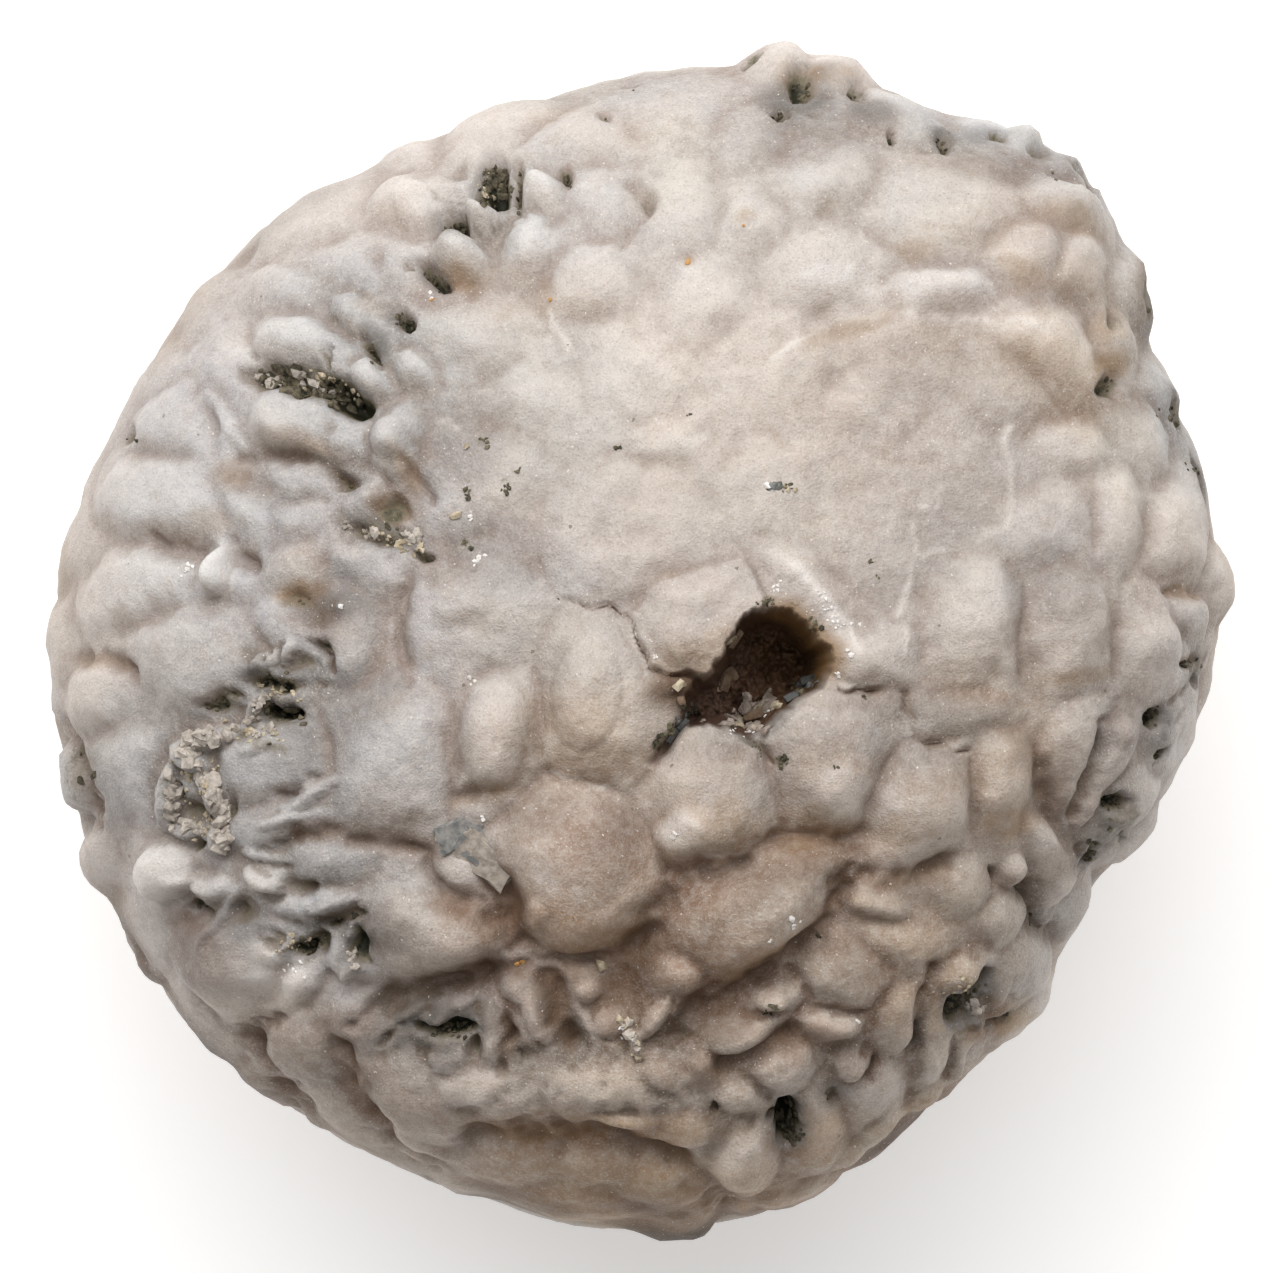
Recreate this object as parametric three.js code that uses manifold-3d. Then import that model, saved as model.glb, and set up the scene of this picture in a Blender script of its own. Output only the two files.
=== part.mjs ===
// A fossil crinoid calyx: the cup and the plated dome of a sea lily, turned to stone as one piece.
// Millimetres, +Z up. It lies on the worn base of its cup, with the dome and its anal opening facing up.
// The origin is the bottom centre of its bounding box.
import * as THREE from "three";
import { mergeVertices } from "three/addons/utils/BufferGeometryUtils.js";
import Module from "manifold-3d";

const wasm = await Module();
wasm.setup();

// ---- Driving dimensions ----

const body = {
  // radius of the widest level every 15 degrees, counter-clockwise from +X
  outline: [
    18.8, 19.1, 19.2, 20.7, 20.0, 19.5, 18.5, 17.9, 17.9, 18.3, 18.4, 18.8,
    19.2, 19.2, 19.3, 19.2, 18.8, 18.8, 19.1, 18.8, 17.9, 17.3, 16.7, 17.8,
  ],
  domeHeight: 11.8, // of the mouth side above the widest level
  domePower: 2.3, // roundness of its section: 2 is an ellipse, more is boxier
  apex: [0.8, -2.6], // how far the top of the dome leans over to one side
  cupDepth: 13.6, // of the cup below the widest level
  cupPower: 1.75,
  wornBase: 1.0, // how much of the cup's underside is worn flat
  divisions: 18, // of each edge of the icosahedron that the surface starts from
};

const plateForm = {
  shoulder: 1.2, // width of the rounded edge of a plate
  relief: 1.3, // how strongly the plates rise, as a factor on every rise below
};

// Plates of the dome, looking down on it: x, y, half length, half width, turn in degrees, rise above its seams.
const domePlates = [
  // round the anal opening
  [1.7, 0.8, 2.0, 1.6, 20, 0.75], [5.6, 2.3, 2.3, 1.0, -42, 0.45], [7.5, -0.4, 1.35, 1.15, 0, 0.45],
  [6.4, -3.5, 2.4, 2.1, -60, 0.9], [2.1, -4.8, 2.2, 1.9, 60, 0.95], [-0.9, -1.7, 2.9, 2.1, 80, 0.95],
  // swollen plates below and left of it
  [-4.6, -2.8, 2.2, 1.5, 80, 0.95], [-1.9, -7.2, 2.8, 2.3, -40, 1.15], [3.4, -8.7, 3.4, 1.9, 28, 1.15],
  [-7.9, -3.4, 2.3, 1.7, 80, 0.95], [-6.8, -8.6, 2.4, 1.8, -38, 1.05], [9.2, -5.3, 2.2, 1.9, 70, 1.0],
  // low plates of the middle and the upper right
  [-5.4, 1.0, 2.4, 1.9, 60, 0.35], [-0.2, 4.0, 3.1, 2.5, 0, 0.3], [4.4, 5.3, 2.3, 1.8, 10, 0.2],
  [7.4, 3.6, 2.0, 2.0, 0, 0.25], [10.3, 5.9, 2.1, 2.2, 0, 0.2], [8.2, 8.6, 2.4, 2.0, 20, 0.2],
  [4.3, 8.7, 2.2, 2.0, 0, 0.25], [-0.2, 8.6, 2.0, 1.9, 0, 0.3], [-3.4, 8.2, 2.0, 1.6, 0, 0.3],
  [-5.5, 10.0, 1.9, 1.4, -20, 0.5], [-4.9, 5.6, 2.1, 1.7, 30, 0.35], [2.1, 11.3, 1.5, 1.4, 0, 0.35],
  [0.6, 6.6, 1.7, 1.0, 0, 0.25], [11.9, 8.2, 1.9, 1.3, -60, 0.25],
  // right flank
  [11.0, 1.0, 2.2, 1.4, 90, 0.8], [14.3, 0.6, 1.8, 1.3, 90, 0.9], [16.8, -0.2, 1.8, 1.0, 90, 0.8],
  [10.4, -2.4, 1.8, 0.8, 5, 0.3], [11.9, -4.6, 1.8, 1.1, 85, 0.9], [14.1, -3.6, 1.7, 0.9, 72, 0.7],
  [15.5, -3.6, 1.6, 0.6, 72, 0.6], [13.2, 3.6, 2.0, 1.3, 10, 0.3], [14.2, 6.7, 1.7, 0.8, -5, 0.5],
  [16.0, 4.2, 1.7, 0.7, 85, 0.6], [17.6, 4.0, 2.0, 1.0, 85, 0.7], [17.6, 0.9, 1.4, 0.7, 0, 0.6],
  [19.0, 1.9, 1.1, 0.9, 90, 0.6], [17.2, -3.0, 1.0, 1.0, 0, 0.4], [15.7, -5.6, 1.1, 0.9, 60, 0.5],
  [16.6, 6.3, 1.3, 0.9, -50, 0.4], [17.4, 8.6, 1.0, 1.0, 0, 0.4],
  // upper right rim
  [6.2, 12.4, 2.2, 1.3, 0, 0.55], [9.9, 11.9, 2.0, 0.9, -5, 0.5], [9.4, 14.6, 2.3, 1.5, -10, 0.65],
  [5.9, 15.1, 1.8, 0.9, 0, 0.45], [12.6, 12.9, 1.1, 0.9, 0, 0.6], [14.1, 14.1, 1.5, 0.9, -25, 0.8],
  [14.3, 12.5, 1.0, 0.8, 90, 0.4], [13.6, 10.5, 2.3, 1.0, -28, 0.85], [16.5, 11.8, 1.2, 1.0, -60, 0.7],
  [15.6, 9.9, 1.0, 0.8, 0, 0.4], [12.0, 16.6, 1.4, 0.9, -20, 0.5], [14.5, 16.0, 1.1, 0.9, -50, 0.5],
  [8.6, 17.0, 1.6, 0.9, -20, 0.5], [6.3, 19.0, 1.2, 0.8, -15, 0.85], [4.4, 19.3, 1.0, 0.9, 0, 1.0],
  // top rim
  [1.4, 17.4, 2.1, 1.5, 0, 0.35], [-1.8, 16.6, 1.7, 1.1, 0, 0.35], [-4.9, 17.0, 1.9, 0.9, 15, 0.45],
  [1.2, 14.3, 1.4, 1.4, 0, 0.35], [-1.3, 14.6, 1.3, 1.1, 90, 0.5], [-3.2, 14.7, 0.9, 0.75, 90, 0.65],
  [-1.7, 12.0, 1.5, 1.3, 0, 0.5], [-3.7, 12.9, 1.2, 1.0, 0, 0.6], [-5.0, 13.6, 0.7, 0.6, 0, 0.6],
  [-5.9, 12.7, 1.0, 0.75, 0, 0.8], [-7.7, 14.3, 1.1, 0.9, 0, 0.5], [-7.4, 16.0, 1.2, 0.8, 20, 0.4],
  [3.6, 14.2, 1.1, 1.3, 0, 0.35], [3.3, 16.8, 1.1, 1.0, 0, 0.3],
  // upper left rim
  [-11.2, 10.1, 1.8, 0.8, 12, 0.8], [-13.4, 9.2, 1.3, 0.9, 90, 0.5], [-11.6, 11.6, 1.4, 0.9, 10, 0.4],
  [-9.6, 12.3, 1.4, 0.9, 20, 0.45], [-7.8, 12.0, 0.9, 0.8, 0, 0.4], [-10.8, 14.1, 2.5, 1.3, 32, 0.55],
  [-14.4, 11.2, 1.5, 1.0, 50, 0.5], [-16.2, 8.8, 1.8, 1.0, 60, 0.45], [-9.2, 10.9, 1.0, 0.7, -40, 0.4],
  [-8.4, 9.1, 1.1, 0.8, -50, 0.45], [-11.5, 7.4, 1.8, 1.05, -8, 0.95], [-11.2, 5.5, 1.3, 0.6, -3, 0.55],
  [-9.5, 6.5, 0.8, 0.8, 0, 0.4], [-7.9, 6.3, 1.3, 0.85, 75, 0.95], [-8.9, 4.9, 1.0, 0.6, 60, 0.6],
  [-10.9, 4.0, 1.3, 0.9, 0, 0.4], [-15.5, 7.2, 1.5, 1.0, 0, 0.55], [-13.5, 7.0, 1.4, 0.6, -75, 0.4],
  // left flank
  [-15.9, 5.0, 2.4, 1.2, 5, 0.75], [-12.9, 4.4, 1.5, 0.8, -40, 0.5], [-16.7, 1.7, 2.2, 1.1, 30, 0.75],
  [-13.7, 2.4, 1.0, 0.6, 80, 0.75], [-19.0, 3.4, 1.6, 1.2, 80, 0.4], [-14.6, -0.8, 2.2, 1.7, 10, 0.9],
  [-17.7, -1.6, 1.1, 1.0, 0, 0.5], [-17.0, -4.2, 1.3, 1.3, 0, 0.5], [-9.6, 0.4, 1.4, 0.8, -80, 0.5],
  [-9.0, 2.4, 1.2, 0.8, -30, 0.45], [-11.5, 2.4, 1.1, 0.8, 0, 0.4], [-11.6, 0.6, 1.0, 0.7, 0, 0.35],
  [-19.0, 0.4, 1.3, 1.0, 90, 0.4], [-18.4, -4.8, 0.9, 0.9, 0, 0.5], [-18.3, -6.9, 1.2, 1.0, 90, 0.5],
  // lower left rim
  [-12.4, -4.4, 1.9, 1.2, 10, 0.65], [-14.9, -4.6, 1.3, 1.0, 70, 0.35], [-12.2, -6.3, 1.2, 0.6, 0, 0.5],
  [-15.8, -7.4, 1.15, 1.1, 0, 1.0], [-12.3, -7.6, 1.0, 0.6, 20, 0.6], [-10.3, -7.1, 1.5, 0.6, -12, 0.55],
  [-10.4, -8.1, 1.4, 0.5, 15, 0.5], [-13.1, -10.6, 1.8, 1.5, -20, 0.75], [-14.2, -8.6, 0.9, 0.7, 0, 0.35],
  [-16.5, -10.0, 1.6, 1.1, -60, 0.4], [-11.3, -11.4, 1.0, 0.8, 0, 0.5], [-11.4, -13.4, 1.8, 0.9, -50, 0.5],
  [-14.4, -12.6, 1.6, 0.9, -55, 0.4], [-9.4, -12.4, 1.2, 0.9, -30, 0.4], [-7.1, -15.1, 2.2, 1.2, -28, 0.95],
  [-9.6, -15.6, 1.7, 0.9, -50, 0.45], [-12.2, -15.0, 1.5, 0.9, -40, 0.4], [-9.4, -10.4, 1.0, 0.9, 0, 0.4],
  // bottom rim
  [-3.7, -12.0, 1.8, 0.7, -62, 0.6], [-4.9, -13.1, 1.3, 0.6, 85, 0.6], [-6.0, -11.6, 1.1, 0.7, 20, 0.4],
  [-1.6, -11.4, 0.9, 0.7, 0, 0.5], [-1.1, -12.6, 0.9, 0.8, 0, 0.5], [0.3, -12.2, 0.9, 0.8, 60, 0.4],
  [-3.2, -14.5, 1.5, 0.9, 0, 0.6], [-1.2, -14.1, 1.2, 0.8, 0, 0.55], [0.4, -13.9, 1.1, 0.8, 0, 0.55],
  [-0.2, -15.4, 1.1, 0.6, 0, 0.5], [-1.9, -15.3, 1.0, 0.6, 0, 0.4], [3.4, -12.5, 2.3, 0.9, 35, 0.85],
  [2.1, -13.8, 1.0, 0.8, 40, 0.5], [6.3, -12.6, 1.2, 0.6, 0, 0.6], [6.7, -10.6, 1.7, 1.3, -20, 0.5],
  [3.5, -16.9, 1.2, 0.9, 80, 0.75], [1.7, -16.0, 1.2, 0.9, 0, 0.5], [3.1, -14.9, 1.0, 0.7, 20, 0.4],
  [4.8, -14.1, 1.0, 0.8, 0, 0.5], [6.4, -16.1, 1.4, 0.8, 80, 0.6], [5.4, -17.6, 0.9, 0.9, 0, 0.4],
  [-4.2, -16.9, 2.0, 0.9, 10, 0.5], [-1.4, -16.8, 1.4, 0.8, 0, 0.45], [0.9, -17.6, 1.5, 0.9, -20, 0.5],
  [-6.8, -17.3, 1.4, 0.8, -20, 0.4], [-2.3, -18.3, 1.6, 0.8, 0, 0.4], [1.4, -19.1, 1.2, 0.9, 0, 0.7],
  // lower right rim
  [7.7, -8.6, 1.2, 0.6, -10, 0.6], [8.8, -9.6, 1.6, 1.1, -20, 0.45], [8.5, -12.0, 1.3, 0.9, 75, 0.5],
  [10.6, -8.0, 1.1, 1.0, 0, 0.5], [12.1, -8.7, 1.1, 0.8, 20, 0.5], [10.4, -10.7, 1.0, 0.7, 30, 0.6],
  [13.5, -7.0, 1.6, 0.7, -62, 0.7], [14.0, -8.9, 1.0, 0.8, 60, 0.5], [12.7, -10.8, 1.3, 0.9, 60, 0.5],
  [11.8, -6.6, 0.9, 0.6, 0, 0.4], [7.4, -14.9, 1.3, 0.9, 60, 0.5], [9.3, -13.7, 1.2, 0.6, 80, 0.5],
  [10.5, -13.5, 1.1, 0.5, 80, 0.45], [12.2, -12.5, 1.0, 0.8, 30, 0.4], [16.2, -6.8, 0.9, 0.9, 0, 0.5],
];

// Plates of the cup in rings: how many, degrees up from the bottom, half size, rise, turn of the ring in degrees.
const cupRings = [
  [3, 15, 3.2, 0.2, 30],
  [6, 38, 4.1, 0.75, 12],
  [11, 57, 3.0, 0.8, 0],
  [16, 71, 2.4, 0.75, 9],
  [22, 83, 1.9, 0.65, 4],
];

// Broad swells and hollows under the plates: x, y, half length, half width, turn, height.
const swells = [
  [-6.6, -11.4, 3.2, 1.2, 12, -0.9], [3.4, -11.0, 3.4, 1.0, 31, -1.0], [-0.4, -11.0, 1.4, 1.5, 0, -0.5],
  [-2.0, -16.4, 4.0, 0.8, 0, -0.6], [8.0, 6.0, 5.2, 5.0, 0, -0.7], [-8.4, 0.3, 0.8, 2.2, 0, -0.5],
  [13.0, -0.5, 0.7, 2.6, 0, -0.4], [-14.8, 3.5, 2.4, 0.7, -8, -0.5], [12.6, -10.0, 0.8, 2.0, 30, -0.4],
];

const analOpening = {
  centre: [4.3, -0.15],
  outline: [[0.2, 1.35], [1.5, 0.95], [2.05, 0.1], [1.8, -0.85], [0.3, -1.5], [-1.1, -2.2], [-2.3, -2.3], [-2.3, -0.9], [-1.5, -0.6]],
  depth: 3.6,
};

// Pits where the arms joined, looking down: x, y, half length, half width, turn, depth.
const armPits = [
  [-4.8, 15.0, 0.9, 0.55, 80, 1.2], [-6.1, 13.7, 0.6, 0.4, 20, 1.0], [-10.9, 8.7, 1.9, 0.65, -22, 1.5],
  [-11.8, -1.1, 0.9, 0.5, -20, 1.2], [-11.8, -2.3, 1.0, 0.45, -15, 1.4], [-14.6, -4.9, 0.5, 0.8, 0, 1.0],
  [-11.0, -9.9, 0.7, 0.5, 0, 1.1], [-6.4, -12.8, 1.1, 0.8, 0, 1.3], [4.9, -15.7, 0.6, 0.95, 0, 1.7],
  [11.1, -11.8, 0.9, 0.6, -30, 1.3], [14.7, -6.7, 0.5, 0.6, 0, 1.0], [16.9, -2.4, 0.5, 0.6, 0, 1.0],
  [15.5, 8.3, 0.6, 0.6, 0, 0.9], [17.4, 7.5, 0.7, 0.4, -30, 1.0], [5.3, 18.3, 0.5, 0.6, 0, 1.0],
];

const stemScar = { radius: 3.1, depth: 0.7, lumen: 0.7, lumenDepth: 1.9 };

const finish = { shortestEdge: 0.04 }; // slivers below this are merged away

// ---- The bare form that the plates sit on ----

const radians = THREE.MathUtils.degToRad;

// Radius of the widest level in a direction, by a smooth curve through the outline's values.
function outlineRadius(angle) {
  const n = body.outline.length;
  const at = ((angle / (2 * Math.PI)) * n + n) % n;
  const i = Math.floor(at);
  const [a, b, c, d] = [-1, 0, 1, 2].map((k) => body.outline[(i + k + n) % n]);
  const t = at - i;
  return b + 0.5 * t * (c - a + t * (2 * a - 5 * b + 4 * c - d + t * (3 * (b - c) + d - a)));
}

const sideOf = (z) => (z >= 0 ? [body.domeHeight, body.domePower] : [body.cupDepth, body.cupPower]);

// How far the dome leans over at a height.
const leanAt = (z) => {
  const share = (Math.max(z, 0) / body.domeHeight) ** 2;
  return new THREE.Vector3(body.apex[0] * share, body.apex[1] * share, 0);
};

// The point of the form in a direction from its middle, at the widest level.
function formPoint(direction) {
  const [height, power] = sideOf(direction.z);
  const radius = outlineRadius(Math.atan2(direction.y, direction.x));
  const across = Math.hypot(direction.x, direction.y) / radius;
  const reach = (across ** power + (Math.abs(direction.z) / height) ** power) ** (-1 / power);
  const point = direction.clone().multiplyScalar(reach);
  return point.add(leanAt(point.z));
}

function formNormal(point) {
  const [height, power] = sideOf(point.z);
  const upright = point.clone().sub(leanAt(point.z));
  const radius = outlineRadius(Math.atan2(upright.y, upright.x));
  const plan = Math.max(Math.hypot(upright.x, upright.y), 1e-6);
  const out = (plan / radius) ** (power - 1) / radius;
  const up = (Math.sign(point.z) * (Math.abs(point.z) / height) ** (power - 1)) / height;
  return new THREE.Vector3((upright.x / plan) * out, (upright.y / plan) * out, up).normalize();
}

// The point of the dome above a place in the plan. A place outside the outline moves in to the rim.
function domePoint(x, y) {
  const { domeHeight, domePower } = body;
  const rim = 0.995;
  const point = new THREE.Vector3(x, y, 0);
  const settlingSteps = 12; // each one corrects the lean for the height found by the one before
  for (let step = 0; step < settlingSteps; step += 1) {
    const upright = new THREE.Vector3(x, y, 0).sub(leanAt(point.z));
    const share = upright.length() / outlineRadius(Math.atan2(upright.y, upright.x));
    upright.multiplyScalar(Math.min(1, rim / Math.max(share, 1e-6)));
    const z = domeHeight * (1 - Math.min(share, rim) ** domePower) ** (1 / domePower);
    point.copy(upright).setZ(z).add(leanAt(z));
  }
  return point;
}

// ---- Plates ----

// A place on the form with its own axes: along it, across it and out of it.
function patch(centre, halfLength, halfWidth, turn, rise) {
  const out = formNormal(centre);
  const heading = new THREE.Vector3(Math.cos(radians(turn)), Math.sin(radians(turn)), 0);
  const along = heading.addScaledVector(out, -heading.dot(out)).normalize();
  const across = new THREE.Vector3().crossVectors(out, along);
  return { centre, out, along, across, halfLength, halfWidth, size: Math.sqrt(halfLength * halfWidth), rise };
}

// How far a point is from the middle of a patch, where 1 is its edge.
function shareOf(point, place) {
  const offset = point.clone().sub(place.centre);
  return Math.hypot(
    offset.dot(place.along) / place.halfLength,
    offset.dot(place.across) / place.halfWidth,
    offset.dot(place.out) / place.size,
  );
}

const onDome = ([x, y, halfLength, halfWidth, turn, rise]) =>
  patch(domePoint(x, y), halfLength, halfWidth, turn, rise);

function ringOfPlates([count, up, halfSize, rise, turn]) {
  return Array.from({ length: count }, (_, i) => {
    const angle = radians(turn + (360 * (i + 0.22 * Math.sin(7.1 * i + count))) / count);
    const tilt = radians(up + 2.5 * Math.sin(4.7 * i + count));
    const direction = new THREE.Vector3(
      Math.sin(tilt) * Math.cos(angle),
      Math.sin(tilt) * Math.sin(angle),
      -Math.cos(tilt) * (body.cupDepth / body.outline[0]),
    );
    return patch(formPoint(direction), halfSize, halfSize * 0.95, 0, rise);
  });
}

const plates = [...domePlates.map(onDome), ...cupRings.flatMap(ringOfPlates)];
const broadSwells = swells.map(onDome);

// Height of the surface over the bare form: the plate that a point belongs to swells between its seams.
function relief(point) {
  let [first, second] = [null, null];
  for (const plate of plates) {
    const share = shareOf(point, plate);
    if (!first || share < first.share) [first, second] = [{ plate, share }, first];
    else if (!second || share < second.share) second = { plate, share };
  }
  const toSeam = (second.share - first.share) / (1 / first.plate.size + 1 / second.plate.size);
  const swell = 1 - (1 - Math.min(toSeam / plateForm.shoulder, 1)) ** 2;
  const crown = 0.8 + 0.2 * Math.max(0, 1 - first.share ** 2);
  const broad = broadSwells.map((place) => place.rise * Math.exp(-(shareOf(point, place) ** 2)));
  return plateForm.relief * first.plate.rise * swell * crown + broad.reduce((sum, height) => sum + height, 0);
}

// ---- Solids ----

function solidOf(geometry) {
  const bare = geometry.clone();
  bare.deleteAttribute("normal");
  bare.deleteAttribute("uv");
  const merged = mergeVertices(bare, 1e-4);
  return new wasm.Manifold(
    new wasm.Mesh({
      numProp: 3,
      vertProperties: new Float32Array(merged.attributes.position.array),
      triVerts: new Uint32Array(merged.index.array),
    }),
  );
}

function geometryOf(solid) {
  const mesh = solid.getMesh();
  const geometry = new THREE.BufferGeometry();
  geometry.setAttribute("position", new THREE.BufferAttribute(new Float32Array(mesh.vertProperties), 3));
  geometry.setIndex(new THREE.BufferAttribute(new Uint32Array(mesh.triVerts), 1));
  geometry.computeVertexNormals();
  return geometry;
}

const floorLevel = body.wornBase - body.cupDepth;

// The plated form, worn flat underneath.
function platedBody() {
  const geometry = new THREE.IcosahedronGeometry(1, body.divisions - 1);
  const position = geometry.attributes.position;
  const direction = new THREE.Vector3();
  for (let i = 0; i < position.count; i += 1) {
    direction.fromBufferAttribute(position, i).normalize();
    const point = formPoint(direction);
    point.addScaledVector(formNormal(point), relief(point));
    position.setXYZ(i, point.x, point.y, Math.max(point.z, floorLevel));
  }
  return solidOf(geometry);
}

// A cutter for a pit: an ellipsoid sunk into the surface.
function pitCutter(pit) {
  const place = onDome(pit);
  const geometry = new THREE.IcosahedronGeometry(1, 2);
  geometry.scale(place.halfLength, place.halfWidth, place.rise);
  const axes = new THREE.Matrix4().makeBasis(place.along, place.across, place.out);
  geometry.applyMatrix4(axes);
  const depthOfSurface = relief(place.centre);
  const centre = place.centre.clone().addScaledVector(place.out, depthOfSurface);
  geometry.translate(centre.x, centre.y, centre.z);
  return solidOf(geometry);
}

// A cutter for the anal opening: its outline as a shaft, straight down from above the dome.
function openingCutter() {
  const [x, y] = analOpening.centre;
  const shape = new THREE.Shape(analOpening.outline.map(([u, v]) => new THREE.Vector2(u, v)));
  const geometry = new THREE.ExtrudeGeometry(shape, { depth: 2 * analOpening.depth, bevelEnabled: false });
  geometry.translate(x, y, domePoint(x, y).z - analOpening.depth);
  return solidOf(geometry);
}

// A cutter for the scar of the stem: a shallow round socket with a hole in its middle.
function stemCutter() {
  const { radius, depth, lumen, lumenDepth } = stemScar;
  const bottom = -1;
  const profile = [[0, bottom], [radius, bottom], [radius, depth], [lumen, depth], [lumen, lumenDepth], [0, lumenDepth]];
  const geometry = new THREE.LatheGeometry(profile.map(([r, z]) => new THREE.Vector2(r, z)), 24);
  geometry.rotateX(Math.PI / 2);
  geometry.translate(0, 0, floorLevel);
  return solidOf(geometry);
}

let solid = platedBody().subtract(openingCutter()).subtract(stemCutter());
for (const pit of armPits) solid = solid.subtract(pitCutter(pit));

const geometry = geometryOf(solid.simplify(finish.shortestEdge));
geometry.computeBoundingBox();
const box = geometry.boundingBox;
const stone = new THREE.MeshStandardMaterial({ color: 0xcdbfb2, roughness: 0.62, metalness: 0 });
const calyx = new THREE.Mesh(geometry, stone);
calyx.name = "calyx";
calyx.position.set(-(box.min.x + box.max.x) / 2, -(box.min.y + box.max.y) / 2, -box.min.z);

const fossilCrinoid = new THREE.Group();
fossilCrinoid.add(calyx);

export default fossilCrinoid;
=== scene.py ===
import math
import random

import bmesh
import bpy
import numpy as np
from mathutils import Matrix, Vector, noise
from mathutils.bvhtree import BVHTree


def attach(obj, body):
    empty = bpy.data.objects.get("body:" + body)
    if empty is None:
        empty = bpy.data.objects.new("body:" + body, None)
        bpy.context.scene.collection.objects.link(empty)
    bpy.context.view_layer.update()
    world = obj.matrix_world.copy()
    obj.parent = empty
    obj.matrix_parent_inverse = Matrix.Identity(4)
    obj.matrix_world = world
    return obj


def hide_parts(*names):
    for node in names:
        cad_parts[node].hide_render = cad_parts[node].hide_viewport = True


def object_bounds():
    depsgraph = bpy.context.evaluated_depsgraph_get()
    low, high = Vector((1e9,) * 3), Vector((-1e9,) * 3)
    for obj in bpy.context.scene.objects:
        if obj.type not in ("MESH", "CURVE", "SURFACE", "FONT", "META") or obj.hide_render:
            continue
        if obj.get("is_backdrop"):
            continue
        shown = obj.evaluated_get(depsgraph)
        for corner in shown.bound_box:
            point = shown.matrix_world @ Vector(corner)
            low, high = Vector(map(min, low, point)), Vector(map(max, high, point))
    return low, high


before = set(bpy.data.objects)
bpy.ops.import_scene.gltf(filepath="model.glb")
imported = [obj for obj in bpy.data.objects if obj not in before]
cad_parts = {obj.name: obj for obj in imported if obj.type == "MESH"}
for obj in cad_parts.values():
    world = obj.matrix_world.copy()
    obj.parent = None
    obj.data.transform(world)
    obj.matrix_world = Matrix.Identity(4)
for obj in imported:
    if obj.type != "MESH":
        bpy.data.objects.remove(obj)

mm = 0.001
cadLow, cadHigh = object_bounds()
noise.seed_set(4)   # without it the noise vectors would change at every run


def colour(red, green, blue):
    # an sRGB colour, 0 to 255, as linear light
    return tuple((c / 255) ** 2.2 for c in (red, green, blue)) + (1.0,)


# The bare form of the calyx, in mm, without its plates: the same as the solid's.
form = {
    "outline": [18.8, 19.1, 19.2, 20.7, 20, 19.5, 18.5, 17.9, 17.9, 18.3, 18.4, 18.8,
                19.2, 19.2, 19.3, 19.2, 18.8, 18.8, 19.1, 18.8, 17.9, 17.3, 16.7, 17.8],
    "domeHeight": 11.8, "domePower": 2.3,
    "cupDepth": 13.6, "cupPower": 1.75,
    "apex": (0.8, -2.6),        # how far the top of the dome leans over
    "wornBase": 1,              # how much of the underside is worn flat
    "scarRadius": 3.1, "scarFloor": 2.75, "scarDepth": 0.7,        # the stem's scar
    "lumenRadius": 0.7, "lumenFloor": 0.4, "lumenDepth": 1.9,      # and the hole in its middle
    "baseLevel": 7,             # subdivisions of the icosphere that the stone grows from
    "fineFrom": 0.19,           # height on the unit sphere above which the mesh is twice as fine
    "finestAt": (4, -0.8), "finestRadius": 3.1,   # round the anal opening it is finer still
}

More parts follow.
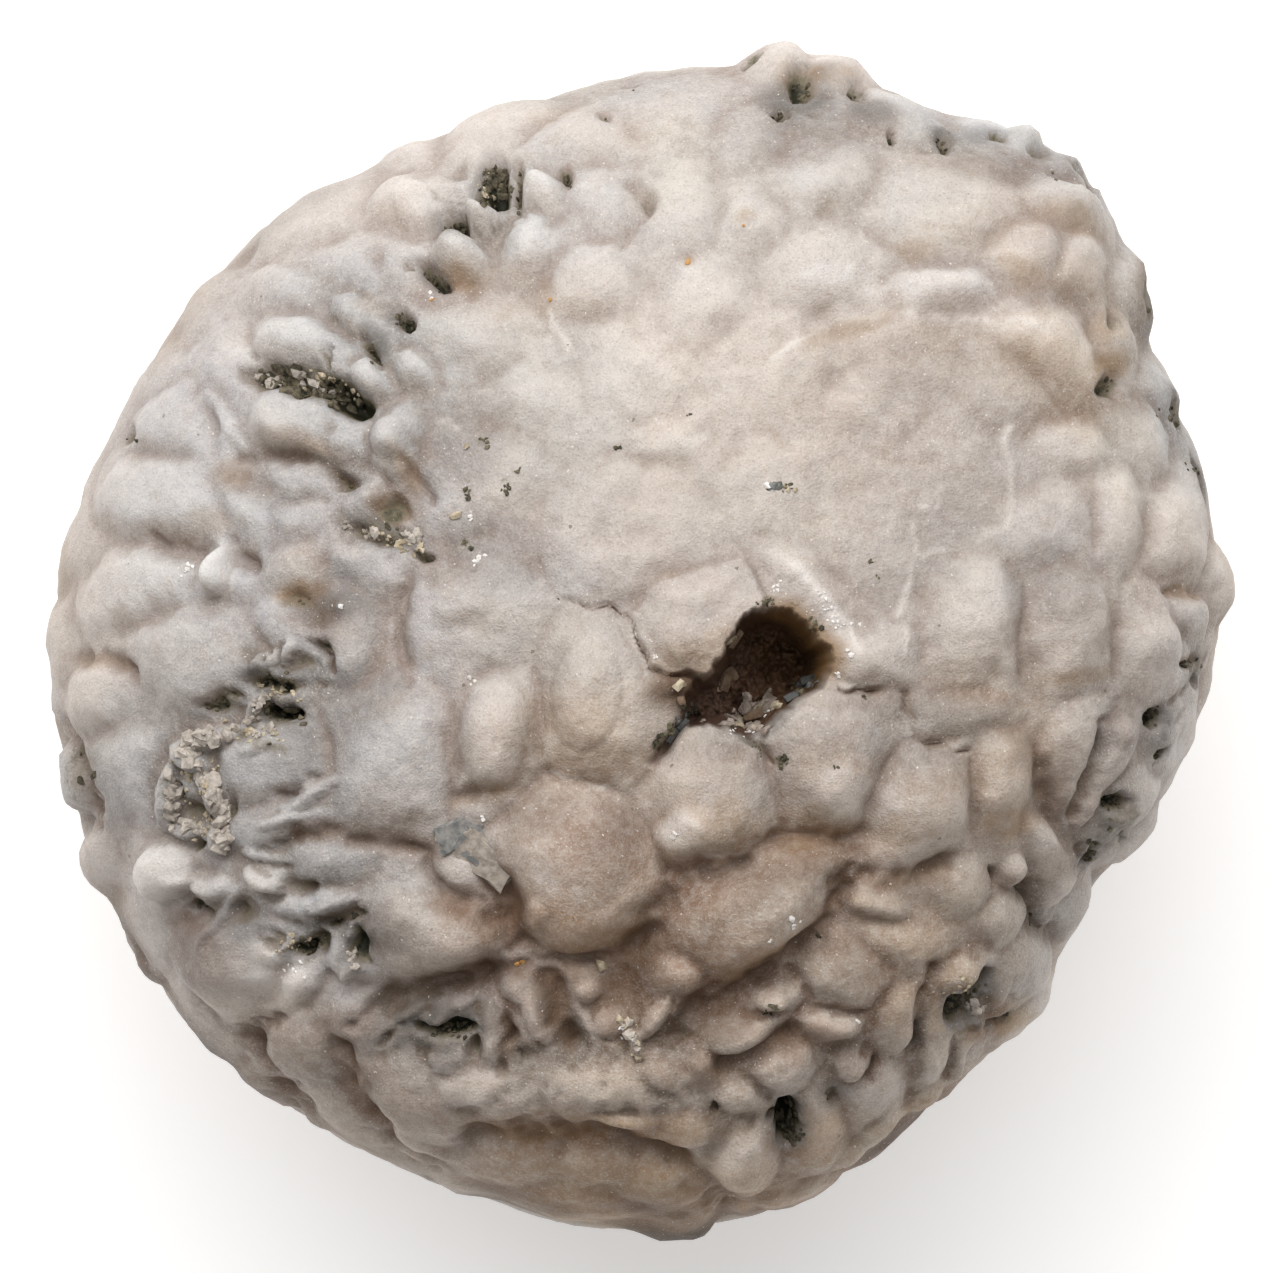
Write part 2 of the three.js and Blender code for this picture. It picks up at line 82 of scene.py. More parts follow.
# Plates of the dome, seen from above: x, y, half length, half width, turn, rise over the seams.
domePlates = [
    # round the anal opening
    (1.8, 0.8, 2.1, 1.7, 20, 0.25), (5.6, 2.3, 2.3, 1, -42, 0.15), (7.5, -0.4, 1.35, 1.15, 0, 0.4),
    (6.3, -3.6, 2.3, 2.1, -60, 0.8), (2.15, -5, 2.2, 1.95, 60, 0.95), (-0.9, -1.7, 2.9, 2.1, 80, 0.75),
    # swollen plates below and left of it
    (-4.8, -2.9, 2.1, 1.3, 84, 0.65), (-1.8, -7.1, 2.4, 2.25, -40, 0.9), (3.55, -8.95, 3.3, 1.5, 33, 0.95),
    (1.2, -10.8, 1.2, 0.9, 33, 0.4), (-7.9, -3.4, 2.3, 1.6, 80, 0.65), (-7.6, -9.1, 2.3, 1.5, -36, 0.75),
    (-6.1, -7.4, 0.8, 0.6, -35, 0.2), (9.2, -5.2, 2, 1.8, 70, 0.7),
    # low plates of the middle and the upper right
    (-5.4, 1, 2.4, 1.9, 60, 0.3), (-0.2, 4, 3.1, 2.5, 0, 0.2), (4.4, 5.3, 2.3, 1.8, 10, 0.12),
    (7.4, 3.6, 2, 2, 0, 0.15), (10.3, 5.9, 2.1, 2.2, 0, 0.12), (8.2, 8.6, 2.4, 2, 20, 0.12),
    (4.3, 8.7, 2.2, 2, 0, 0.15), (-0.2, 8.6, 2, 1.9, 0, 0.2), (-3.4, 8.2, 2, 1.6, 0, 0.22),
    (-5.5, 10, 1.9, 1.4, -20, 0.4), (-4.9, 5.6, 2.1, 1.7, 30, 0.25), (2.1, 11.3, 1.5, 1.4, 0, 0.25),
    (0.6, 6.6, 1.7, 1, 0, 0.15), (11.9, 8.2, 1.9, 1.3, -60, 0.2),
    # right flank
    (11, 1, 2.2, 1.4, 90, 0.5), (14.2, 0.6, 1.9, 1.3, 90, 0.5), (16.8, 0.2, 1.7, 0.95, 90, 0.45),
    (10.6, -2.3, 1.9, 0.7, 5, 0.25), (11.9, -4.6, 1.8, 1, 85, 0.45), (14.1, -3.6, 1.7, 0.75, 72, 0.35),
    (15.5, -3.6, 1.6, 0.5, 72, 0.3), (13.2, 3.9, 1.9, 1.2, 10, 0.2), (14.2, 6.5, 1.7, 0.7, -5, 0.25),
    (15.7, 4.3, 1.7, 0.7, 85, 0.35), (17.6, 4, 2, 0.9, 85, 0.45), (17.9, 0.9, 1.1, 0.6, 0, 0.3),
    (19.2, 1.9, 1.1, 0.8, 90, 0.5), (17.6, -3, 1.2, 0.9, 0, 0.25), (15.9, -5.4, 1.1, 0.9, 60, 0.3),
    (16.6, 6.5, 1.3, 0.9, -50, 0.35), (17.6, 8.9, 1, 1, 0, 0.4),
    # upper right rim
    (6.2, 12.4, 2.2, 1.3, 0, 0.35), (9.9, 11.8, 2, 0.8, -8, 0.35), (9.6, 14.3, 2.3, 1.5, -10, 0.35),
    (5.9, 15.1, 1.8, 0.9, 0, 0.35), (12.6, 12.9, 1.1, 0.9, 0, 0.35), (14.1, 14.1, 1.5, 0.7, -25, 0.5),
    (14.4, 12.5, 1, 0.7, 90, 0.2), (13.6, 10, 2.3, 1.1, -28, 0.35), (16.7, 11.6, 1.3, 1, -80, 0.35),
    (15.6, 9.9, 1, 0.8, 0, 0.3), (12, 16.9, 1.6, 0.9, -20, 0.2), (14.7, 15.9, 1.3, 0.9, -50, 0.2),
    (8.6, 17.3, 1.8, 0.9, -20, 0.25), (6.4, 19, 1.3, 0.8, -15, 0.35), (4.6, 19.3, 1.2, 0.9, 0, 0.35),
    # top rim
    (1.4, 17.6, 2.1, 1.4, 0, 0.15), (-1.8, 16.5, 1.7, 1, 0, 0.3), (-4.9, 16.8, 1.9, 0.9, 15, 0.4),
    (1.4, 14.4, 1.4, 1.4, 0, 0.3), (-1.3, 14.6, 1.3, 1, 90, 0.3), (-3.2, 14.6, 0.8, 0.7, 90, 0.45),
    (-1.5, 12.1, 1.5, 1.2, 0, 0.4), (-3.6, 13, 1.1, 0.95, 0, 0.55), (-5, 13.7, 0.65, 0.55, 0, 0.6),
    (-5.9, 12.6, 0.95, 0.7, 0, 0.5), (-7.7, 14.3, 1.1, 0.9, 0, 0.4), (-7.4, 16, 1.2, 0.8, 20, 0.35),
    (3.6, 14, 1, 1.3, 0, 0.25), (3.3, 16.8, 1.1, 1, 0, 0.25),
    # upper left rim
    (-11.3, 10, 1.8, 0.8, 12, 0.55), (-13.4, 9.2, 1.3, 0.9, 90, 0.2), (-11.6, 11.7, 1.4, 0.8, 10, 0.25),
    (-9.6, 12.3, 1.4, 0.8, 20, 0.25), (-7.8, 12.4, 0.9, 0.8, 0, 0.25), (-10.8, 14.1, 2.5, 1.2, 32, 0.2),
    (-14.4, 11.2, 1.5, 1, 50, 0.15), (-16.2, 8.8, 1.8, 1, 60, 0.12), (-9.4, 11, 1, 0.7, -40, 0.35),
    (-8.7, 8.7, 0.7, 0.6, -50, 0.5), (-7.4, 9, 0.8, 0.6, -10, 0.45), (-11.4, 7.1, 1.75, 1.05, -10, 0.55),
    (-11, 5.2, 1.2, 0.8, -3, 0.25), (-9.4, 6.6, 0.7, 0.8, 0, 0.2), (-8.1, 6.3, 1.3, 0.8, 75, 0.6),
    (-8.9, 4.9, 1, 0.5, 60, 0.2), (-10.9, 4, 1.3, 0.8, 0, 0.2), (-15.5, 7.2, 1.5, 1, 0, 0.3),
    (-13.6, 7.2, 1.4, 0.45, -75, 0.3),
    # left flank
    (-15.9, 5, 2.2, 1.1, 5, 0.35), (-12.9, 4.5, 1.5, 0.75, -40, 0.3), (-16.7, 1.9, 2, 0.9, 30, 0.35),
    (-13.8, 2.5, 1, 0.8, 84, 0.25), (-19, 3.4, 1.6, 1.2, 80, 0.15), (-14.6, -0.7, 2.1, 1.5, 10, 0.5),
    (-17.7, -1.7, 1.1, 0.9, 0, 0.3), (-16.9, -4.2, 1, 1.5, 0, 0.25), (-9.6, 0.3, 1.3, 0.7, -80, 0.3),
    (-9, 2.6, 1.2, 0.7, -30, 0.2), (-11.3, 2.7, 1, 0.8, 0, 0.35), (-11.7, 0.6, 1, 0.7, 0, 0.2),
    (-19, 0.4, 1.3, 1, 90, 0.2), (-18.8, -4.8, 0.6, 0.9, 0, 0.35), (-18.3, -7.3, 1.2, 1, 90, 0.35),
    # lower left rim
    (-12.5, -3.9, 1.8, 1.1, 8, 0.4), (-14.9, -4.3, 1.3, 0.8, 60, 0.2), (-12, -6, 1.5, 0.7, 0, 0.25),
    (-15.5, -7.4, 1.1, 1.1, 0, 0.1), (-12.3, -7.6, 0.9, 0.5, 20, 0.3), (-10.2, -7.2, 1.6, 0.8, -12, 0.25),
    (-10.5, -8.3, 1.3, 0.5, 10, 0.3), (-12.9, -10.7, 1.7, 1.4, -20, 0.5), (-14, -8, 0.8, 0.4, 0, 0.2),
    (-16.5, -10, 1.6, 1.1, -60, 0.15), (-11.2, -11.3, 1, 0.8, 0, 0.25), (-11, -13.5, 1.8, 0.8, -50, 0.25),
    (-14.4, -12.6, 1.6, 0.9, -55, 0.15), (-9.4, -12.4, 1.2, 0.9, -30, 0.2),
    (-7.3, -15.2, 2.2, 1.1, -28, 0.45), (-9.6, -15.4, 1.7, 0.8, -50, 0.2), (-12.2, -15, 1.5, 0.9, -40, 0.2),
    (-9.5, -10.2, 0.9, 0.8, 0, 0.25),
    # bottom rim
    (-3.5, -12.1, 1.2, 0.8, -65, 0.15), (-4.9, -13, 1, 0.7, 95, 0.15), (-6.4, -12.2, 1, 0.8, 20, 0.15),
    (-1.7, -11.5, 0.7, 0.7, 0, 0.1), (-1.1, -12.5, 0.8, 0.7, 0, 0.15), (0.45, -12.3, 0.9, 0.6, 60, 0.2),
    (-4.4, -14.7, 2.2, 0.9, -6, 0.12), (-1.4, -14.6, 2.2, 0.9, 8, 0.12), (0.8, -13.9, 1, 0.8, 0, 0.15),
    (-0.4, -15.5, 1, 0.5, 0, 0.3), (3.2, -12.9, 1.9, 0.55, 24, 0.5), (4.4, -11.7, 0.9, 0.7, 0, 0.4),
    (2.1, -13.7, 0.8, 0.6, 40, 0.4), (6.3, -12.5, 1.1, 0.45, 0, 0.45), (6.7, -10.7, 1.6, 1.2, -20, 0.4),
    (3.2, -16.9, 1.2, 0.9, 80, 0.6), (1.7, -16, 1.3, 0.9, 0, 0.25), (3.3, -14.9, 0.9, 0.6, 20, 0.3),
    (4.6, -14, 0.9, 0.7, 0, 0.4), (6.1, -16.3, 1.4, 0.9, 80, 0.3), (5.2, -17.9, 0.9, 0.8, 0, 0.3),
    (-4.2, -16.9, 2, 0.9, 10, 0.2), (-1.4, -16.9, 1.6, 0.9, 0, 0.2), (0.9, -17.7, 1.5, 0.8, -20, 0.25),
    (-6.8, -17.3, 1.4, 0.8, -20, 0.15), (-2.3, -18.3, 1.6, 0.8, 0, 0.15), (1.3, -19, 1.4, 0.9, 0, 0.2),
    # lower right rim
    (7.8, -8.6, 1.1, 0.45, -14, 0.4), (8.8, -9.9, 1.6, 1, -20, 0.3), (8.4, -12.2, 1.3, 0.8, 75, 0.35),
    (10.6, -7.9, 1, 0.9, 0, 0.35), (11.9, -8.8, 1, 0.7, 20, 0.3), (10.4, -10.8, 0.9, 0.65, 20, 0.35),
    (13.4, -7.1, 1.5, 0.55, -62, 0.45), (14.1, -8.7, 1, 0.7, 60, 0.35), (12.7, -10.6, 1.2, 0.8, 60, 0.3),
    (12.2, -7.5, 0.6, 0.5, 0, 0.3), (7.4, -14.9, 1.3, 0.9, 60, 0.3), (9.7, -13.2, 1.3, 0.5, 80, 0.25),
    (10.6, -13.4, 1.1, 0.5, 84, 0.2), (12.4, -12.4, 1, 0.8, 30, 0.3), (16.4, -6.7, 1, 0.9, 0, 0.3),
    (6.9, -13.8, 0.6, 0.6, 0, 0.3),
]

# Plates of the cup in rings: how many, degrees up from the bottom, half size, rise, turn of the ring.
cupRings = [(3, 15, 3.2, 0.2, 30), (6, 38, 4.1, 0.75, 12), (11, 57, 3, 0.75, 0), (16, 71, 2.4, 0.5, 9),
            (22, 83, 1.9, 0.15, 4)]

# Broad swells and hollows under the plates: x, y, half length, half width, turn, height.
swells = [
    (-6.6, -11.3, 2.8, 0.8, 12, -0.75), (-0.1, -10, 0.9, 1.4, -35, -0.5), (-4.4, -8.4, 0.7, 1.5, 15, -0.5),
    (3.9, -11.2, 3.2, 0.65, 31, -0.8), (-0.6, -11.4, 1.2, 1.2, 0, -0.7), (-2, -16.6, 4.2, 0.6, -3, -0.45),
    (-2.6, -14.8, 5.6, 0.9, 4, 0.5), (8, 6, 5.2, 5, 0, -0.7), (-8.3, 0.3, 0.8, 2, 0, -0.4),
    (-10.6, -5.4, 2.6, 1.6, 0, 0.4), (13, -0.5, 0.7, 2.6, 0, -0.4), (-14.8, 3.1, 2.4, 0.6, -8, -0.3),
    (12.9, -9, 0.6, 1.6, 30, -0.3), (13.4, -4.6, 0.6, 1.2, 0, -0.3), (-2.6, -12, 0.5, 1.4, 15, -0.3),
    (-9.5, -14.6, 0.6, 2, 25, -0.4), (14.2, 15.6, 3, 2, -45, 0.6), (17, 11.6, 1.4, 1.2, -60, 0.5),
    (17.6, 9.4, 1, 0.6, 0, -0.3), (16.6, -6.2, 1.3, 1.3, 0, 0.15), (15.4, -8, 0.6, 1, 60, -0.5),
    (13.7, -11.7, 1.2, 0.9, 50, 0.5), (18.6, -1.6, 0.6, 0.9, 0, -0.4), (-18.4, -5.9, 0.5, 0.6, 0, -0.5),
    (-13.6, 13.2, 0.8, 0.8, 0, -0.3),
]

# Knobs that stand on the plates: x, y, half length, half width, turn, height, softness of the edge.
knobs = [
    (4.5, 19.3, 1.3, 1, 0, 0.25, 0.6), (6, 19, 1.9, 0.9, -14, 0.35, 0.5), (1.3, -19.2, 1, 0.9, 0, 0.2, 0.5),
    (1.5, -6.3, 1, 0.8, 20, 0.35, 0.5), (6.4, -5, 1.2, 0.9, 10, 0.3, 0.6),
    (-2.2, -7.9, 1.9, 1.5, -30, 0.3, 0.6), (-3.5, -8.8, 0.45, 0.4, 0, 0.3, 0.5),
    (4.4, -9.1, 1.7, 0.9, 30, 0.25, 0.6), (9.3, -5.4, 1.2, 1.3, 0, 0.3, 0.6),
    (-5.9, 1.5, 0.9, 0.7, 30, 0.3, 0.6), (1.2, -1.3, 0.4, 0.35, 0, 0.3, 0.5),
    (17, 0.6, 1, 0.6, 80, 0.2, 0.7), (-10.9, 7, 1.6, 0.9, -12, 0.3, 0.4),
    (11.2, 1.2, 1.5, 0.8, 85, 0.25, 0.6), (14.3, 1.2, 1.3, 0.8, 85, 0.25, 0.6),
    (11.9, -4.4, 1.3, 0.7, 85, 0.15, 0.6), (-13.9, -10.8, 1.2, 0.9, 0, 0.25, 0.7),
    (-9.3, -14.1, 1.3, 0.3, -65, 0.25, 0.5), (-7.4, -16.2, 1.4, 0.3, -35, 0.25, 0.5),
    (7.4, -16, 1.3, 0.35, 42, 0.35, 0.5), (9.3, -14.6, 1.2, 0.35, 25, 0.3, 0.5),
    (3.3, -16.6, 0.9, 0.8, 60, 0.15, 0.5), (-13.7, -8.8, 1, 0.22, 55, 0.25, 0.5),
    (-14.2, -7.8, 0.8, 0.3, -15, 0.3, 0.5), (-5.6, -14.4, 1, 0.5, 20, 0.25, 0.5),
]

# Round beads and short ridges that stand on the plates: x, y, half length, half width, turn, height.
beads = [
    (-15.45, -7.4, 0.95, 0.95, 0, 0.95), (12.3, 16.3, 0.45, 0.4, 0, 0.4), (-9.8, 1.2, 0.2, 0.2, 0, 0.2),
    (-13.75, 2.35, 0.85, 0.32, 80, 0.75), (-8.1, 6.7, 0.7, 0.65, 0, 0.4),
    (-1.75, -1.7, 1.8, 1.15, 84, 0.34), (-4.75, -2.9, 1.95, 1.1, 86, 0.36), (-3.3, 14.5, 0.8, 0.7, 90, 0.3),
    (-5.1, 13.65, 0.6, 0.5, 0, 0.35), (-6, 12.5, 0.9, 0.75, 0, 0.4), (-7.3, 14.2, 0.7, 0.6, 60, 0.25),
    # the comb and the crumbly ridges of the left
    (-12.4, -0.6, 0.4, 0.15, 60, 0.5), (-12, -0.5, 0.4, 0.14, 65, 0.5), (-11.5, -0.3, 0.45, 0.17, 70, 0.5),
    (-12.6, -2.2, 0.8, 0.25, 65, 0.5), (-14.1, -3.1, 1.1, 0.35, 15, 0.5), (-14.7, -3.7, 0.8, 0.4, -30, 0.5),
    (-15.4, -5, 1.2, 0.3, 84, 0.55), (-13.9, -5, 1, 0.3, -65, 0.55), (-13.7, -6.2, 0.8, 0.35, 80, 0.5),
    (-14.9, -6.1, 0.5, 0.25, -20, 0.35), (-11.5, -9.9, 0.4, 0.16, 80, 0.4),
    (-12.3, -7.7, 0.8, 0.28, -35, 0.4), (-12.2, -6.9, 0.9, 0.2, -10, 0.3), (-11.6, -5.7, 0.9, 0.2, 10, 0.3),
    (-10, -8.5, 0.9, 0.25, 20, 0.35), (-10.6, -4.9, 1.1, 0.25, 35, 0.35), (-9.5, -10.7, 0.5, 0.2, 50, 0.3),
    (-12.3, -3.3, 0.7, 0.2, 15, 0.25),
    # fingers and beads of the bottom
    (-4.2, -11.35, 0.5, 0.4, -50, 0.3), (-3.4, -12.3, 1, 0.3, -65, 0.28), (-4.85, -12.9, 1, 0.28, 95, 0.28),
    (-5.8, -11.7, 0.6, 0.28, 25, 0.25), (-1.7, -11.45, 0.45, 0.4, 0, 0.28),
    (-1, -12.4, 0.6, 0.45, 30, 0.28), (-0.3, -12.8, 0.9, 0.24, -60, 0.3), (0.5, -12.3, 0.9, 0.34, 58, 0.3),
    (-6.2, -13.5, 0.7, 0.55, 0, 0.25), (-7.6, -12.2, 0.6, 0.2, 35, 0.3), (4.3, -11.6, 0.6, 0.45, 0, 0.35),
    (6.9, -13.8, 0.55, 0.5, 0, 0.2), (9.4, -13.6, 0.6, 0.25, 85, 0.2), (10.3, -13.6, 0.7, 0.25, 80, 0.2),
    (11, -12.2, 0.35, 0.3, 0, 0.4), (10.3, -10.8, 0.75, 0.6, 10, 0.25), (12.2, -7.5, 0.6, 0.4, 70, 0.18),
    (15.7, -2.9, 0.5, 0.3, 80, 0.25), (14.6, -5.4, 0.9, 0.25, 70, 0.3), (15.4, -5.7, 0.5, 0.2, 0, 0.2),
]

# Cracks and grooves between plates: width, depth, dirt, then the points that each runs through.
creases = [
    (0.055, 0.26, 0.8, [(-3, 1.6), (-2, 1.35), (-0.9, 1.15), (-0.4, 1), (-0.15, 0.4), (0.1, -0.1),
        (0.4, -0.7), (0.9, -1.02), (2, -1.02)]),
    (0.16, 0.40, 1, [(1.9, -2.3), (1.4, -2.65), (0.9, -3.2), (0.4, -3.7)]),
    (0.10, 0.25, 1, [(3.6, -3), (3.8, -3.4), (4.3, -3.8)]),
    (0.07, 0.18, 0.4, [(3.8, -3.5), (3.95, -4.2), (4.1, -5)]),
    (0.08, 0.28, 0.8, [(6.4, -1.5), (7.3, -1.75), (8.2, -1.55), (8.5, -1.5), (8.7, -2.1), (9.1, -2.95),
        (10, -3.4), (10.7, -3.6)]),
    (0.45, 0.55, 0.3, [(-0.6, -10.2), (0, -9.4), (0.6, -8.6), (1.1, -7.8), (2, -7.2), (3.2, -6.9),
        (4.3, -6.3), (5.6, -6.1), (6.9, -6.3)]),
    (0.45, 0.50, 0.4, [(1.4, -13), (1.3, -12.3), (2.3, -11.4), (3.6, -10.8), (4.8, -10.2)]),
    (0.40, 0.55, 0.4, [(4.8, -10.2), (5.8, -9.6), (6.4, -8.7), (6.7, -7.6)]),
    (0.50, 0.60, 0.7, [(-8.4, -11.9), (-7.1, -11.4), (-5.8, -11), (-4.6, -10.8)]),
    (0.35, 0.50, 0.3, [(-4.4, -9.6), (-3.2, -10.3), (-1.8, -10.4), (-0.6, -10)]),
    (0.40, 0.50, 0.3, [(-4.5, -7.7), (-4.3, -8.4), (-4.25, -9.2), (-4.1, -9.9)]),
    (0.35, 0.50, 0.7, [(-4.6, -10.8), (-3.6, -10.7), (-2.9, -11.4), (-2.6, -12.3), (-2.2, -13.2)]),
    (0.18, 0.40, 0.7, [(-4.2, -11.9), (-4.2, -12.8), (-4.5, -13.8)]),
    (0.30, 0.45, 0.5, [(5.1, -11), (5.4, -11.9), (5.1, -12.7), (4, -13.3), (2.8, -13.9)]),
    (0.14, 0.30, 0.6, [(5.5, -12), (6.4, -12), (7.3, -11.9)]),
    (0.40, 0.45, 0.5, [(-5.6, -16.15), (-4.5, -15.9), (-2.9, -15.85), (-1.2, -16.1), (0.2, -16.6),
        (1.3, -17.1), (2.1, -17.8), (2.8, -18.5)]),
    (0.40, 0.25, 0.1, [(-5.8, -4.9), (-4.8, -5.1), (-3.6, -4.8), (-3, -4.4)]),
    (0.30, 0.35, 0.5, [(-10.8, -6.1), (-9.4, -6.3), (-8, -6.4), (-7.1, -6.8), (-7, -7.6), (-6.4, -8.2),
        (-5.3, -8.5), (-4.7, -9.4)]),
    (0.28, 0.40, 0.3, [(-7.7, 2.2), (-8, 1), (-7.9, -0.3), (-7.6, -1.3)]),
    (0.20, 0.45, 0.8, [(-12.2, 6.1), (-11, 6.05), (-10.2, 5.8), (-9.5, 5.3)]),
    (0.14, 0.30, 0.6, [(-7.6, 6), (-7.2, 5.3), (-6.8, 4.8)]),
    (0.28, 0.40, 0.4, [(-15.8, 3.3), (-14.8, 3), (-14.2, 3.2), (-13.4, 3.1), (-12.7, 2.6)]),
    (0.30, 0.45, 0.5, [(-18.4, -0.5), (-17.6, -0.6), (-16.8, -0.9)]),
    (0.28, 0.60, 1, [(-18.9, -2.8), (-18.5, -3.5), (-18, -4.2), (-17.8, -4.9), (-18, -5.9)]),
    (0.25, 0.35, 0.4, [(-13.9, 7.6), (-13.6, 6.8), (-13.2, 6.2), (-12.4, 6.1)]),
    (0.16, 0.40, 0.7, [(-10.8, 0.2), (-10.4, -0.3), (-10.1, -0.9)]),
    (0.32, 0.45, 0.6, [(-12.9, -12.6), (-12.3, -13.5), (-11.9, -14.4), (-11, -15.1)]),
    (0.38, 0.50, 0.7, [(-9.8, -13.4), (-9.3, -14.4), (-8.7, -15.3), (-7.8, -16.2), (-6.7, -17.1)]),
    (0.20, 0.30, 0.6, [(-8.6, -11.9), (-9.4, -12.4)]),
    (0.20, 0.30, 0.3, [(-10.1, -11), (-10.8, -12), (-11.8, -12.4), (-13, -12.4)]),
    (0.25, 0.35, 0.5, [(-17, -9.2), (-16.3, -10.6), (-15.6, -11.7)]),
    (0.30, 0.40, 0.4, [(7.2, -7.5), (8.2, -7.7), (9.2, -7.5), (10, -7.2)]),
    (0.18, 0.40, 0.9, [(7.3, -13.1), (7.6, -13.5), (7.5, -14)]),
    (0.22, 0.40, 0.6, [(9.5, -10.7), (9.1, -11.6), (9, -12.6), (9, -13.3)]),
    (0.28, 0.45, 0.6, [(12.8, -7.8), (12.9, -8.6), (13.2, -9.4)]),
    (0.22, 0.25, 0.5, [(13.2, -3.2), (13.2, -4.4), (13.3, -5.6), (14, -6.6)]),
    (0.20, 0.30, 0.4, [(14.9, -4.2), (14.5, -4.9), (14.1, -5.6)]),
    (0.18, 0.40, 0.8, [(-11.6, -6.4), (-11, -6.3), (-10.5, -6.1)]),
    (0.16, 0.35, 0.8, [(-11.7, -7.7), (-11.2, -7.8), (-10.8, -7.9)]),
    (0.18, 0.40, 0.8, [(-10.4, -9.2), (-9.8, -9), (-9.2, -8.7)]),
    (0.16, 0.35, 0.8, [(-11.9, -4.9), (-11.3, -4.8), (-10.7, -4.2)]),
    (0.22, 0.40, 0.6, [(15, -2.6), (14.9, -3.4), (14.6, -4.5)]),
    (0.20, 0.35, 0.5, [(17.2, 1.6), (17.9, 1.6), (18.6, 1.7)]),
    (0.22, 0.40, 0.6, [(13.5, 14.9), (14.4, 14.7), (15.1, 14)]),
    (0.18, 0.30, 0.4, [(-0.2, 15), (0.2, 14.5), (0, 13.8), (-0.5, 13.1)]),
]

# Pale sutures that stand hardly proud of the surface: width, then the points.
veins = [
    (0.10, [(8.3, 0.8), (8.7, 1.8), (9.2, 3), (9.1, 4.2)]),
    (0.08, [(9.2, 3), (9.6, 3.15), (10.1, 3.1)]),
    (0.10, [(11.1, 3.4), (11.5, 3.7), (11.9, 3.8), (12.4, 5.3), (12.2, 7)]),
    (0.07, [(9.2, 4.7), (9.6, 4.7), (10, 4.6)]),
    (0.08, [(-2.9, 11), (-2.7, 10.4), (-2.3, 9.7)]),
    (0.10, [(-6.8, 7.4), (-6.3, 7.25), (-5.9, 7)]),
    (0.07, [(-2.9, -4.2), (-2, -4.5), (-1.1, -4.8)]),
    (0.16, [(-0.2, 6.2), (0.6, 6.35), (1.4, 6.4), (2.2, 6.8)]),
    (0.12, [(4, 9), (5, 9.8), (6, 10.3), (8, 10.9), (10.5, 10.8), (13, 10.3)]),
    (0.08, [(-0.3, 1.1), (-0.25, 0.5), (0, -0.1), (0.35, -0.8)]),
    (0.14, [(-13.6, 3), (-13.75, 2.4), (-13.9, 1.8)]),
    (0.13, [(4.8, 2.6), (5.4, 2.2), (5.9, 1.6), (6.4, 1.1), (6.9, 0.7), (7, -0.2), (6.7, -0.9)]),
    (0.08, [(2.2, -6.9), (3, -6.9), (3.8, -6.4), (4.3, -5.8)]),
    (0.08, [(6.4, -1.2), (7.1, -1.5), (8.1, -1.3), (8.6, -0.5), (8.7, 0.4)]),
]

